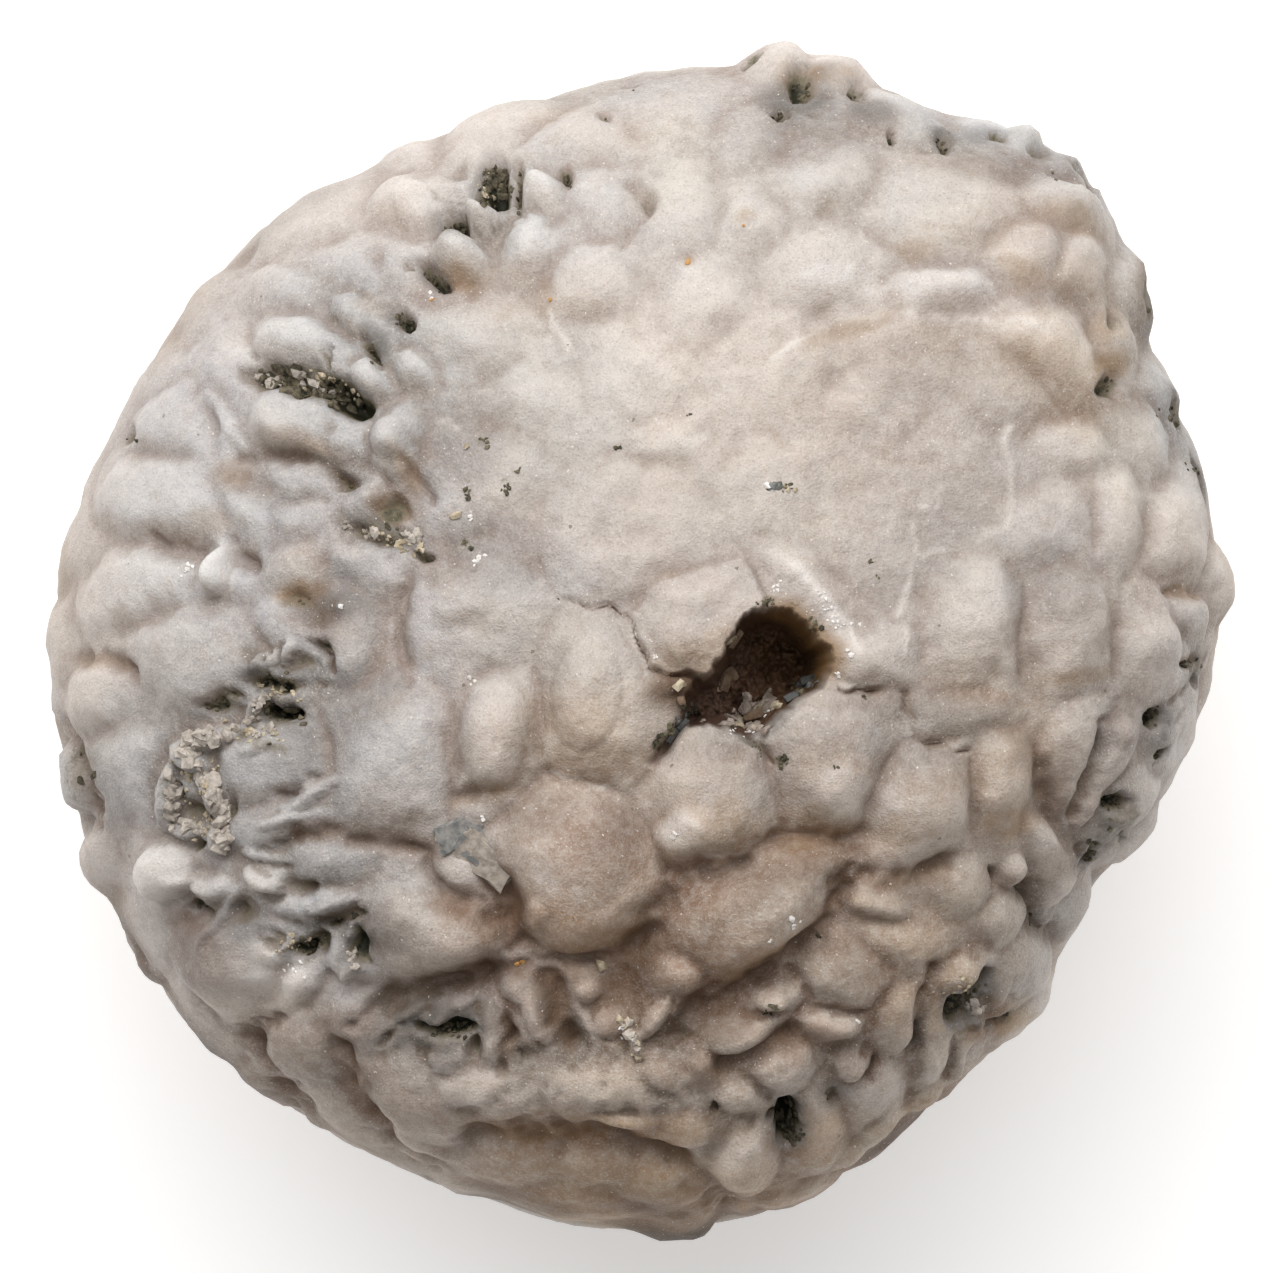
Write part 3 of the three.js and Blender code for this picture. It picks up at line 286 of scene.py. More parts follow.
# Pits: x, y, half length, half width, turn, depth.
pits = [
    # arm openings of the top
    (-4.8, 15, 0.65, 0.38, 80, 1.3), (-6.1, 13.7, 0.42, 0.28, 20, 0.9), (-4, 15, 0.7, 0.13, 84, 0.6),
    (-2.4, 15.3, 0.2, 0.25, 0, 0.6), (-6.7, 11.9, 0.5, 0.17, -42, 0.8), (-7.5, 12.1, 0.14, 0.14, 0, 0.4),
    (-7.7, 10.6, 0.3, 0.17, -50, 0.8), (0.2, 14.4, 0.2, 0.25, 0, 0.3), (-0.2, 18.2, 0.25, 0.18, 0, 0.4),
    (-1.1, 17.3, 0.3, 0.15, -30, 0.3),
    # upper left
    (-12.2, 8.65, 0.7, 0.32, -5, 0.4), (-11.2, 8.4, 0.6, 0.36, -20, 0.6),
    (-9.75, 8.15, 0.8, 0.34, -38, 1.5), (-10.4, 8.4, 0.35, 0.3, 0, 0.9), (-10.1, 9.3, 0.4, 0.1, 72, 0.5),
    (-8.75, 9.6, 0.5, 0.13, -72, 0.7), (-16.7, 6.7, 0.35, 0.25, 30, 0.4), (-8.15, 4.35, 0.5, 0.35, 20, 0.5),
    (-9.2, 3.65, 0.3, 0.16, -30, 0.4), (-8.5, 3.4, 0.3, 0.12, 0, 0.4), (-7.2, 2.9, 0.4, 0.15, -10, 0.5),
    (-9.6, 5.15, 0.22, 0.13, 0, 0.4),
    # left
    (-11.1, 1.55, 0.4, 0.2, 10, 0.2), (-12.2, -1.15, 0.45, 0.18, -10, 0.9),
    (-11.6, -1.35, 0.4, 0.18, -20, 1), (-11.1, -0.8, 0.35, 0.3, 0, 0.4), (-10.5, 0.1, 0.25, 0.12, -45, 0.6),
    (-10.2, -0.45, 0.4, 0.11, -70, 0.6), (-10.5, -1.45, 0.22, 0.08, -20, 0.3),
    (-11.95, -2.2, 0.4, 0.2, -15, 1.4), (-11.35, -2.4, 0.4, 0.2, -25, 1.4),
    (-14, -1.95, 0.4, 0.14, 20, 0.6), (-13.3, -1.65, 0.3, 0.1, -20, 0.7), (-15.1, -4.8, 0.18, 0.3, 20, 0.8),
    (-14.6, -5.4, 0.3, 0.4, 0, 0.4), (-14.55, -6.5, 0.2, 0.16, 0, 0.7), (-13.4, -5.6, 0.12, 0.7, 0, 0.4),
    (-14.4, -8.65, 0.4, 0.17, -10, 0.7), (-13, -8.9, 0.45, 0.28, -30, 0.35),
    (-11.05, -10, 0.35, 0.22, 0, 1), (-11.9, -9.6, 0.5, 0.25, 0, 0.25), (-10.1, -9.25, 0.32, 0.12, 15, 0.8),
    (-9.3, -8.9, 0.4, 0.1, 30, 0.6), (-9.15, -9.9, 0.22, 0.55, 15, 0.8), (-10.5, -9.8, 0.4, 0.3, 0, 0.5),
    # bottom
    (-6.2, -12.65, 0.55, 0.22, 10, 1.1), (-7, -12.7, 0.35, 0.2, 0, 0.8), (-5.4, -13.2, 0.12, 0.35, 20, 0.5),
    (-8.2, -12.9, 0.3, 0.15, 30, 0.4), (4.85, -15.8, 0.36, 0.75, 8, 2), (4.2, -15.45, 0.3, 0.16, 0, 0.6),
    (2.5, -15.15, 0.11, 0.17, 0, 0.5), (4.3, -12, 0.25, 0.1, 0, 0.45), (6.3, -14.8, 0.2, 0.25, 30, 0.4),
    (-3.7, -13.4, 0.09, 0.3, 20, 0.4), (-2.1, -13.1, 0.1, 0.2, 0, 0.4),
    # lower right
    (10.9, -11.4, 0.75, 0.34, 50, 1.2), (10.5, -11.95, 0.45, 0.4, 0, 1.1),
    (11.6, -12.35, 0.4, 0.2, 10, 0.6), (9, -13, 0.13, 0.45, 0, 0.8), (14.8, -6.8, 0.25, 0.45, 20, 1.1),
    (15.6, -5.2, 0.32, 0.25, 10, 0.9), (15.7, -6.2, 0.35, 0.1, -35, 0.5), (14.15, -7.2, 0.15, 0.17, 0, 0.4),
    (15, -3.3, 0.13, 0.42, 0, 0.7), (16.8, -2.45, 0.22, 0.3, -10, 1.1), (16.95, -3.6, 0.2, 0.18, 0, 0.9),
    (17.9, -0.5, 0.5, 0.12, 0, 0.8), (18.5, -0.6, 0.22, 0.18, 30, 0.7), (18.1, -1.3, 0.17, 0.3, 10, 0.5),
    (19.2, 0.6, 0.17, 0.17, 40, 0.3), (13.2, -9.2, 0.13, 0.25, 0, 0.5), (12.7, -8.3, 0.17, 0.4, 40, 0.4),
    (11.5, -7.6, 0.11, 0.3, 0, 0.4),
    # upper right
    (18.3, 5.7, 0.4, 0.25, -60, 0.6), (17.3, 7.6, 0.42, 0.22, -25, 0.9), (15.4, 8.5, 0.36, 0.3, 0, 0.6),
    (16.5, 11.2, 0.35, 0.6, 10, 0.5), (15.4, 10.5, 0.25, 0.4, 30, 0.3), (14.2, 15.3, 0.4, 0.18, -10, 0.6),
    (12.8, 15.8, 0.4, 0.16, -10, 0.5), (11.45, 16.35, 0.2, 0.2, 0, 0.8), (9.95, 16.4, 0.15, 0.25, 10, 0.8),
    (8.2, 16.5, 0.15, 0.18, 0, 0.4), (7.1, 17.9, 0.2, 0.3, 10, 0.9), (5.3, 18.2, 0.32, 0.4, 0, 0.8),
    (4.6, 17.4, 0.25, 0.22, 0, 0.6), (3.6, 18.7, 0.17, 0.3, 0, 0.7),
]

# Corroded places, where the surface breaks up into sharp little ridges: x, y, half length, half width,
# turn, strength.
corroded = [
    (-12, -1.4, 2.2, 1.6, 0, 0.8), (-14.7, -4.8, 1.5, 2.4, 0, 0.7), (-11.4, -7.2, 2.2, 1.8, 0, 0.6),
    (-10.6, -9.7, 2.2, 1.1, 0, 0.8), (-6.8, -12.7, 2.2, 1.3, 0, 0.9), (-2, -13, 3.4, 1.2, 5, 0.8),
    (4.6, -14.8, 3, 1.8, 20, 0.5), (10.8, -12.2, 2.2, 1.5, 30, 0.7), (15.2, -5.6, 1.6, 2.4, 10, 0.6),
    (13, -9, 1.3, 1.8, 30, 0.5), (-10.9, 8.6, 2.4, 0.8, -15, 0.7), (-8.6, 3.6, 1.8, 0.8, -20, 0.8),
    (13.4, 15.7, 2.2, 0.8, -25, 0.5), (17.8, -1.2, 0.9, 2.6, 0, 0.6), (-2, -14.9, 4.6, 0.9, 3, 0.8),
    (-5.6, 3.4, 0.9, 1.2, 0, 0.4), (17.4, 7.2, 1.3, 1.4, 0, 0.6), (-5.2, 14.4, 2, 1.6, 40, 0.6),
    (-8.8, 10.2, 2.2, 1.2, -50, 0.5), (9.8, 16.5, 2.6, 0.6, -8, 0.5), (5, 17.7, 1.6, 0.8, 0, 0.5),
    (16.5, 11.2, 0.9, 1.4, 0, 0.6), (-8.4, 5, 1.4, 1.6, 0, 0.4), (-9.6, 6.2, 1.4, 1.2, 0, 0.4),
]

# The anal opening, the plate that overhangs it and the raised rim on its far side.
opening = {
    "edge": [(2.27, -0.93), (2.5, -0.45), (2.9, 0.07), (3.08, 0.5), (3.46, 0.97), (3.84, 1.16),
             (4.3, 1.24), (4.9, 1.1), (5.45, 0.8), (5.95, 0.3), (6.3, -0.15), (6.38, -0.65), (6.2, -1.1),
             (5.9, -1.45), (5.45, -1.7), (5, -2), (4.6, -2.35), (4.2, -2.75), (3.7, -3.1), (3.2, -2.95),
             (2.7, -2.78), (2.2, -2.75), (1.6, -2.8), (1.3, -2.5), (1.4, -2), (1.55, -1.6), (1.7, -1.17)],
    "lipDrop": 1.3, "lipSlope": 0.12,      # the edge falls away at once, then the wall slopes on
    "depth": 3.4, "slope": 0.5,
    "slant": 0.45, "slantFrom": 3.6, "mostSlant": 1.6,      # the floor drops towards +X
}
lipPlate = {
    "edge": [(-0.28, 1), (0.24, 1.75), (0.75, 2.1), (1.75, 2.32), (2.6, 2.6), (3.35, 2.8), (3.6, 2.5),
             (3.85, 2), (4.05, 1.5), (4.1, 1.1), (3.7, 0.75), (3.4, 0.3), (3.1, -0.2), (2.7, -0.8),
             (2.3, -1), (1.75, -0.97), (0.9, -0.97), (0.43, -0.66), (0.14, -0.08), (-0.12, 0.45)],
    "rise": 0.5, "softness": 0.1, "rounding": 0.7, "roundedBy": 0.35,
}
brightRim = {
    "line": [(4.4, 2.9), (5.2, 2.4), (5.8, 1.8), (6.15, 1.2), (6.5, 0.5), (6.85, -0.1)],
    "width": 0.3, "rise": 0.015,
}

# Soft stains, with painted shade and painted light among them: x, y, half length, half width, turn, strength.
stains = {
    "ash": [
        (-14, 5, 5.5, 8, -20, 1), (-13.5, -8, 4, 7, 20, 0.9), (-8.5, 14.5, 5, 3, 30, 0.7),
        (-9, 2, 3.5, 6, 0, 0.9), (-3.5, 2.5, 2.5, 1.5, 0, 0.5), (17.5, -3, 1.6, 4.5, 0, 0.7),
        (14, 15.5, 5, 1.2, -35, 0.6), (17.5, 6.5, 1, 3, 10, 0.7), (-3.5, 14, 2.5, 2, 0, 0.5),
        (10.2, 12, 2.2, 1, -8, 0.8), (18, 1, 1.2, 0.8, 0, 0.6), (-10, -15, 5, 1.5, -35, 0.4),
    ],
    # brown mud in the recesses, partly painted shade, such as the band under the ledge
    "mireAndShade": [
        (0, -12.3, 8, 1.8, 2, 0.7), (-6.5, -11.7, 3, 0.9, 12, 0.4), (4, -10.9, 3.4, 0.7, 30, 0.3),
        (9.5, -12.5, 4, 3, 30, 0.7), (-11, -14.6, 4, 1.6, -42, 0.6), (-1, -16.1, 4.5, 0.8, -2, 0.6),
        (-5, -5.3, 2, 0.6, 8, 0.2), (0.8, -8.4, 0.8, 2, -35, 0.35), (6.6, -8, 0.8, 1.8, -15, 0.6),
        (-4.5, -9.4, 1, 1.6, 40, 0.5), (13.5, -4.8, 0.9, 2, 0, 0.5), (4, -14.6, 3.5, 1.6, 0, 0.5),
        (-8.6, 5.2, 1.6, 1.6, 0, 0.2), (8.5, -7.4, 2.4, 0.6, 8, 0.2),
    ],
    # darker brownish tone, partly a real stain and partly painted shadow, as under the plates that overhang
    # the oval
    "dusky": [
        (3.4, -8.8, 3.8, 2.2, 28, 1), (-2, -6.8, 2.8, 1.8, -30, 0.6), (8.8, -16.2, 3, 1, 36, 0.8),
        (6.2, -3.4, 1.8, 1.6, 0, 0.3), (-14.7, -0.6, 2.2, 1.5, 10, 0.3), (0, 18.6, 6, 0.8, 0, 0.5),
        (-0.6, -6.4, 1.2, 1, -30, 0.5), (-2.8, -5.3, 1.2, 0.5, 0, 0.5), (0.8, -2.2, 1.1, 1.1, 0, 0.5),
        (2.6, -3.6, 2, 0.8, 0, 0.5), (9.8, -1.8, 2.6, 0.7, -5, 0.5), (7.3, -2.3, 1.4, 0.6, 0, 0.4),
        (13.6, 2, 0.8, 1.2, 0, 0.4), (-6, 6.8, 1.5, 1.4, 0, 0.4), (-8, -14.8, 2.4, 1, -25, 0.5),
        (-3.5, -14.9, 3.5, 0.8, 0, 0.35), (2, -14, 2.5, 0.8, 0, 0.5), (6.5, -13.5, 2, 1, 0, 0.4),
        (-14.3, -9.8, 1.6, 1.2, -50, 0.6), (-14, -13, 2.5, 1, -50, 0.4), (-9, -7, 2, 1.2, 0, 0.5),
        (-7, -9, 2.2, 1.6, -30, 0.4), (-10, 1, 1.3, 0.9, 0, 0.5), (-10.6, -3, 1.2, 1.8, 0, 0.4),
        (-3.5, 3.2, 1.4, 1, 0, 0.3), (9, -3.8, 2, 1.2, 0, 0.3), (3.6, 17.2, 1.2, 0.8, 0, 0.6),
        (7.4, 17, 1.2, 0.9, 0, 0.6), (-2.4, -12.3, 3.4, 1.5, 0, 0.6), (-6.5, 2.7, 1.1, 0.8, 0, 0.7),
        (-8.2, -1.6, 1.1, 1, 0, 0.5), (-9.2, -9.2, 1.4, 0.9, -30, 0.5), (12.5, 15.5, 2.2, 0.7, -20, 0.6),
        (16.6, 11.4, 0.9, 1.4, 0, 0.6), (15.8, 8, 1.2, 0.7, 0, 0.5), (-6.4, 11.3, 1.6, 0.7, 0, 0.8),
        (-13, 5.3, 1, 0.6, 0, 0.6), (-10, 3.5, 1.2, 1, 0, 0.4), (4.2, -7.3, 2.4, 0.6, 28, 0.8),
        (7.6, -7.5, 1.6, 0.6, 0, 0.8), (11, -7.8, 1.9, 0.5, 0, 0.7), (13.9, -6.9, 0.7, 0.6, 0, 0.9),
        (1.3, -9.4, 0.8, 0.9, 0, 0.8), (16, -2.7, 0.8, 0.9, 0, 0.9), (9.4, -4, 0.9, 0.9, 0, 0.7),
        (10.8, -1.6, 1.9, 0.4, -8, 0.8), (14, 1.8, 0.6, 0.9, 0, 0.6), (16.6, 1.6, 0.5, 0.9, 0, 0.6),
        (18.2, 5, 0.7, 1.4, 0, 0.6), (-10.2, 1.1, 1.5, 0.6, 10, 1), (-0.9, -6.3, 1, 0.7, -30, 0.9),
        (-15, -12, 4, 1.1, -50, 0.5), (3, 0.8, 6, 3.5, -10, 0.22), (-5.5, 6.8, 1.3, 1.1, 0, 0.6),
        (5.5, 16.4, 1.2, 0.7, 0, 0.6), (-8.9, -9.3, 1.2, 0.8, -30, 0.7), (-9.7, -12.6, 1.2, 0.7, 20, 0.9),
        (7, -10.3, 1, 0.7, 0, 0.7), (7, -13.5, 1, 0.7, 0, 0.6), (1.4, -13.4, 1.3, 0.8, 0, 0.6),
        (-7.5, -14.9, 2, 0.7, -10, 0.5), (2.9, -2.5, 1.6, 0.6, 15, 0.8), (9.5, -1.7, 2.2, 0.5, -6, 0.5),
        (-1.2, -5.9, 1.8, 0.9, -10, 0.8), (1.9, -8.2, 1.2, 0.6, 40, 0.5), (0.2, -11.2, 1, 0.8, 0, 0.6),
        (6.7, -10.2, 1, 0.7, 0, 0.5), (6.5, -13.1, 1.1, 0.5, 0, 0.6), (10.3, -11.3, 0.8, 0.6, 0, 0.6),
        (-3.5, -9, 1, 0.8, -30, 0.5), (-8.8, -9.1, 1.4, 0.7, -30, 0.4), (-11.2, -13.4, 1.6, 0.8, -40, 0.5),
        (-16, -11.5, 2, 0.8, -60, 0.6), (11, 15.5, 2.2, 0.7, -15, 0.4), (6, 16.8, 1.6, 0.9, 0, 0.4),
        (18.4, 4.9, 0.7, 1.3, 0, 0.4), (14, 1.7, 0.8, 1, 0, 0.4), (13, 13.6, 1, 0.8, 0, 0.5),
        (14, 7.6, 1.6, 0.5, 0, 0.5), (9.8, 10, 2, 0.6, 0, 0.4), (-13.8, -10, 1.2, 0.8, -40, 0.7),
        (1.3, -1.6, 0.8, 0.7, 0, 0.9), (3, -3.4, 1.1, 0.5, 0, 0.7),
    ],
    # paler stone, partly painted light on flanks that the light leaves dark
    "pale": [
        (-17.5, 0.5, 3, 5.5, 0, 0.6), (-16.5, -9, 3, 2.5, 0, 0.4), (17.8, 3.5, 1.6, 3, 0, 0.5),
        (-1, -14.6, 5, 1.3, 4, 0.15), (13.5, 13.5, 3, 1.4, -30, 0.5), (3, 9, 7, 5.5, 20, 0.8),
        (-8, 15.5, 5, 2.5, 20, 0.5), (2, 1.2, 1.8, 1.4, 0, 0.7), (-15.8, -7.4, 1.3, 1.2, 0, 1),
        (0.5, 4, 3, 2.5, 0, 0.6), (11.5, 1.2, 2.5, 1.6, 80, 0.4), (-16.5, 5, 3, 1.5, 20, 0.5),
        (-9.5, 0.3, 1.4, 0.8, -80, 0.5), (-3.3, 14.6, 0.8, 0.8, 0, 0.8), (14.2, 9.8, 2, 0.9, -25, 1),
        (14.6, 5.7, 1.4, 0.8, 0, 0.5), (2.6, -16.9, 1.4, 1.2, 0, 0.9), (6, -15.6, 0.8, 1, 0, 0.6),
        (-5, 13, 1.6, 0.9, 20, 0.5), (-9, 9.2, 1.6, 0.5, 0, 0.4), (-14.8, 4.1, 1.8, 0.6, 0, 0.5),
        (-17.2, 0.8, 1.2, 0.5, 0, 0.9), (1.8, -6.7, 0.9, 0.6, 0, 0.6), (-12, 9.9, 1.6, 0.9, 10, 0.5),
        (-12, 6.9, 1.4, 0.6, -10, 0.5), (5.6, 12.4, 2.6, 1.8, 0, 0.6), (-5, 15.9, 1, 0.6, 0, 0.5),
        (-5, -4, 1, 1, 0, 0.4), (-6.5, 9.3, 1.6, 0.8, 0, 0.5), (13.6, -9.6, 0.8, 0.8, 0, 0.4),
        (13.2, -11.8, 1, 0.8, 0, 0.5), (-12, -11.2, 1.6, 1, -30, 0.6), (9, -6.8, 1.4, 0.5, 0, 0.4),
        (12.3, 16.3, 0.5, 0.5, 0, 1), (-12.4, -7.6, 1.2, 0.8, 0, 0.6), (-13.8, 2.4, 0.5, 0.9, 0, 0.9),
        (-14.2, -3.3, 1.2, 0.5, 10, 0.6), (-15.4, -5, 0.4, 1.2, 0, 0.4), (-5.5, -14.5, 1.4, 0.7, 20, 0.6),
        (-5.2, 15.6, 1, 0.7, 0, 0.7), (2.2, -16.7, 1.2, 0.6, 20, 0.8), (-2.5, -12.7, 0.9, 0.6, 0, 0.7),
        (-12.6, -12, 1.4, 0.6, -40, 0.6), (-15.9, -8.5, 0.8, 0.6, 0, 0.7), (6.1, -5.3, 1.2, 0.5, 10, 0.4),
        (12.8, -12.6, 0.8, 0.7, 0, 0.6), (18.2, -3.8, 0.8, 1.6, 0, 0.7), (16.4, -5, 0.6, 0.8, 0, 0.4),
        (18.5, 2.4, 0.7, 0.8, 0, 0.6), (9, -6.7, 1.4, 0.5, 0, 0.4), (-14.5, 5.5, 3, 2, 0, 0.3),
        (-12, -10.8, 1.2, 0.8, -40, 0.5), (3.2, -16.6, 1.4, 1.1, 0, 0.9),
    ],
    "rust": [
        (5.3, 18.3, 0.7, 0.35, 0, 0.9), (6.5, 18.2, 0.8, 0.25, 0, 0.5), (15.4, 9.1, 0.7, 0.4, 0, 0.9),
        (16.4, 11.5, 0.6, 0.8, 0, 0.6), (15.3, 10.4, 0.6, 0.6, 0, 0.5), (11.8, -12.3, 0.7, 0.4, 0, 0.8),
        (-11.1, 1.7, 0.8, 0.4, 10, 0.9), (-11, 6.4, 1.2, 0.35, -5, 0.4), (-7.6, 5.6, 0.35, 0.8, 20, 0.6),
        (14.4, -1, 1.2, 0.35, 0, 0.5), (-18.8, 2.3, 0.5, 1.1, 0, 0.4), (-15.2, 10.5, 1, 1.8, -35, 0.4),
        (12, -5.9, 0.9, 0.7, 0, 0.6), (14.1, 13.6, 1.2, 0.3, -25, 0.6), (12.6, 12.2, 1, 0.3, -30, 0.5),
        (8.9, 12.9, 0.9, 0.35, 0, 0.4), (6.9, 10.4, 1.8, 0.35, 20, 0.5), (3.4, 13.9, 0.35, 0.3, 0, 0.5),
        (1.6, 12.5, 0.2, 0.2, 0, 0.8), (-3, 11.4, 0.4, 0.6, 0, 0.4), (5.8, -6.2, 1.2, 0.35, 20, 0.5),
        (-1.2, -9.5, 1.4, 0.35, 20, 0.6), (3.8, -10.4, 1.9, 0.35, 28, 0.6), (-17.8, -0.6, 1, 0.3, -10, 0.5),
        (-3.3, -16.2, 2.4, 0.35, 0, 0.7), (0.8, -16.8, 1.3, 0.3, -22, 0.7), (17.9, 1.6, 0.8, 0.25, 5, 0.7),
        (18, -0.5, 0.8, 0.25, 0, 0.6), (-8.1, 4.5, 0.6, 0.5, 0, 0.7), (-5.2, -5, 1.2, 0.35, 10, 0.5),
        (9, -7.6, 1.4, 0.35, 10, 0.5), (-4.6, 12, 0.9, 0.4, 0, 0.3), (-6, 11.8, 0.8, 0.3, 0, 0.6),
        (3.9, -10.6, 0.3, 0.2, 0, 0.4), (10.3, -11.2, 0.9, 0.3, 20, 0.4), (-13.4, 5.6, 0.6, 0.6, 0, 0.4),
        (-14, 3.9, 0.7, 0.4, -20, 0.4),
    ],
    # rusty brown stain, with painted shadow along the band under the ledge and under swollen plates
    "brown": [
        (-2, -18, 5.5, 1.2, 0, 0.1), (8.8, -16.4, 2.8, 0.9, 36, 0.7), (-12.2, -14.4, 1.6, 0.7, -50, 0.3),
        (4.4, -18.4, 2.2, 0.7, 0, 0.6), (-8.8, -15.2, 0.5, 2.2, 33, 0.8), (1.2, -12.2, 1, 0.7, 30, 0.2),
        (-6.5, -11.2, 2.2, 0.5, 15, 0.4), (-0.8, -11.9, 1, 1, 0, 0.5), (13.5, -4.7, 0.5, 1.4, 0, 0.5),
        (-2.8, -12, 0.5, 1.4, 15, 0.7), (-3, -10.9, 1.6, 0.4, 0, 0.6), (-4.3, -12.9, 0.3, 1, 0, 0.5),
        (-9, -13.9, 0.8, 0.8, 0, 0.5), (2.6, -13.9, 1, 0.6, 30, 0.5), (-17, -9.5, 1.2, 2.6, 25, 0.4),
        (6.4, -8.3, 0.4, 1.3, -15, 0.5), (5.2, -13, 1.6, 0.5, 15, 0.5), (14.6, -5.2, 0.8, 1.2, 0, 0.4),
        (-15.2, -8.9, 0.9, 0.4, -20, 0.6), (5.4, -6.5, 1.6, 0.4, -5, 0.45),
        (-5.6, -8.6, 1.4, 0.4, -15, 0.7), (-4.8, -9.4, 0.5, 1, 20, 0.6), (-7.6, -6.5, 1.8, 0.5, -8, 0.5),
        (-10.2, -6.1, 1.6, 0.4, 0, 0.6), (12.6, -3.4, 0.6, 1.2, 30, 0.5), (0.8, -19.2, 2.6, 0.9, 0, 0.7),
        (-4.5, -18.6, 2.5, 0.5, -10, 0.5), (1.3, -1.5, 0.9, 0.35, 0, 0.6), (-11, 1.6, 0.6, 0.4, 0, 0.4),
        (-8.2, 4.5, 0.6, 0.7, 20, 0.45), (16.5, 11.8, 0.7, 1, 0, 0.5), (1.5, -1.7, 0.6, 0.8, 0, 1),
        (1, -18.3, 3, 0.9, 0, 0.7), (8.3, -15.9, 2.4, 1.1, 36, 0.75), (11.4, -12.2, 0.9, 0.7, 0, 0.9),
        (-3.5, -18.1, 3, 0.6, -8, 0.5), (4.6, -17.8, 2, 0.7, 20, 0.7), (5, -7.1, 1.6, 0.5, 28, 0.5),
        (0.8, -9.6, 0.6, 1, -30, 0.5), (-0.1, -10.1, 0.8, 1.1, -30, 0.8), (2.8, -12.4, 1.1, 0.5, 20, 0.5),
        (2.6, -11.4, 1.6, 0.4, 25, 0.5), (5.2, -13, 1.2, 0.5, 10, 0.4), (-4.4, -8.6, 0.7, 1.5, 15, 0.7),
        (-3, -16, 3, 0.45, 0, 0.6), (0.8, -16.8, 1.4, 0.35, -25, 0.7), (-2.5, -15.95, 3.2, 0.4, 0, 0.6),
        (-14.6, -10, 1, 1, -50, 0.5), (-13.8, -13.8, 1.6, 0.5, -45, 0.5),
    ],
    # white spots and pale crystals, with painted light that brightens shaded flanks, lit facets and rims
    "white": [
        (-15.7, -7.4, 1.1, 1, 0, 0.8), (-13.75, 2.35, 0.4, 0.9, 0, 1), (-12.7, 4.2, 0.3, 1, 45, 0.5),
        (1.3, -6.1, 0.6, 0.6, 0, 0.7), (-5.5, -1.2, 0.5, 0.4, 0, 0.7), (5.7, 1.9, 1.2, 0.25, -45, 0.5),
        (6.4, 0.9, 0.7, 0.3, -50, 0.5), (3.4, -16, 0.8, 0.6, 0, 0.4), (-3.2, 14.6, 0.6, 0.6, 0, 0.6),
        (-5, 13.6, 0.4, 0.4, 0, 0.6), (-7.3, 14.2, 0.6, 0.5, 0, 0.5), (4.9, -9.1, 0.4, 0.3, 0, 0.6),
        (-11.8, -10.8, 1.5, 0.9, -50, 1), (6.2, 11.7, 1.6, 0.8, 0, 0.7), (14, 9.7, 1.7, 0.6, -25, 0.7),
        (-3.5, 13.8, 2.4, 1.4, 20, 0.5), (-6.2, 9.3, 1.8, 0.6, 0, 0.5), (4.5, 13.2, 4.5, 2, 0, 0.2),
        (9, -6.8, 1.6, 0.5, 8, 0.6), (12.5, -12.2, 0.9, 0.8, 0, 0.6), (-12, 6.6, 1.3, 0.4, -5, 0.6),
        (-8.2, 6.1, 0.8, 0.6, 0, 0.5), (-2.4, -12.8, 0.9, 0.6, 0, 0.5), (7.5, 18, 2.5, 0.5, -20, 0.4),
        (12.5, 16.6, 2.2, 0.5, -25, 0.4), (13.5, -8.6, 0.8, 0.8, 0, 0.4), (17.4, -3, 1, 1.6, 0, 0.5),
        (-8.2, -11.2, 1.2, 0.5, 0, 0.4), (-5.4, 9, 1.4, 0.5, 0, 0.4), (-13, -11.9, 1.2, 0.6, -40, 0.4),
        (4.5, -9.9, 2, 0.4, 33, 0.4), (13.2, -5.2, 0.8, 0.8, 0, 0.3), (1.8, -6.9, 1.3, 0.4, 10, 0.6),
        (4.2, -10.1, 2.2, 0.4, 33, 0.6), (6.3, -8.9, 0.6, 0.9, 0, 0.4), (-8.2, -11.3, 1.2, 0.5, 0, 0.3),
        (-2.2, -12.8, 0.8, 0.6, 0, 0.4), (8.8, -13.8, 0.8, 0.6, 0, 0.3), (12.9, -12.1, 0.8, 0.8, 0, 0.5),
        (-12.8, -11.8, 1.2, 0.6, -40, 0.3), (-11.9, -7.2, 0.8, 1, 0, 0.3), (15.4, 9, 1, 0.4, -25, 0.5),
        (18.4, 2.3, 0.7, 0.7, 0, 0.5), (18, -4, 0.7, 1.2, 0, 0.4), (2.4, -16.6, 1, 0.6, 20, 0.5),
        (6.6, -5.4, 1, 0.5, 0, 0.5), (-15.6, -8.5, 0.7, 0.5, 0, 0.5), (-4.2, 12.5, 1.3, 0.6, 30, 0.5),
        (-6.6, 12.5, 0.8, 0.5, 0, 0.4), (6, 11.6, 1.8, 0.8, 10, 0.4), (14, 9.6, 1.5, 0.6, -25, 0.7),
        (3.5, 13, 1.6, 1, 0, 0.3), (10.5, 11.5, 2, 0.5, -8, 0.3), (-15.6, 4, 1.6, 0.4, 0, 0.4),
        (-17.2, 0.6, 1.2, 0.4, -20, 0.4), (-12, 6.7, 1.2, 0.4, 0, 0.4), (2.2, -16.3, 1, 0.7, 20, 0.7),
        (10, 11.8, 1.9, 0.7, -8, 0.5), (6, -15.8, 0.6, 0.9, 0, 0.4), (-11.6, 9.8, 1.5, 0.5, 12, 0.4),
        (-11.8, 7, 1.2, 0.4, -10, 0.4), (-2, -12.4, 0.9, 0.6, 0, 0.4), (-0.4, -15.5, 0.8, 0.3, 0, 0.4),
        (6.4, -12.3, 1, 0.3, 0, 0.4), (13.2, -11.6, 0.9, 1.1, 0, 0.8), (5.2, 18.9, 1.1, 0.7, 0, 0.8),
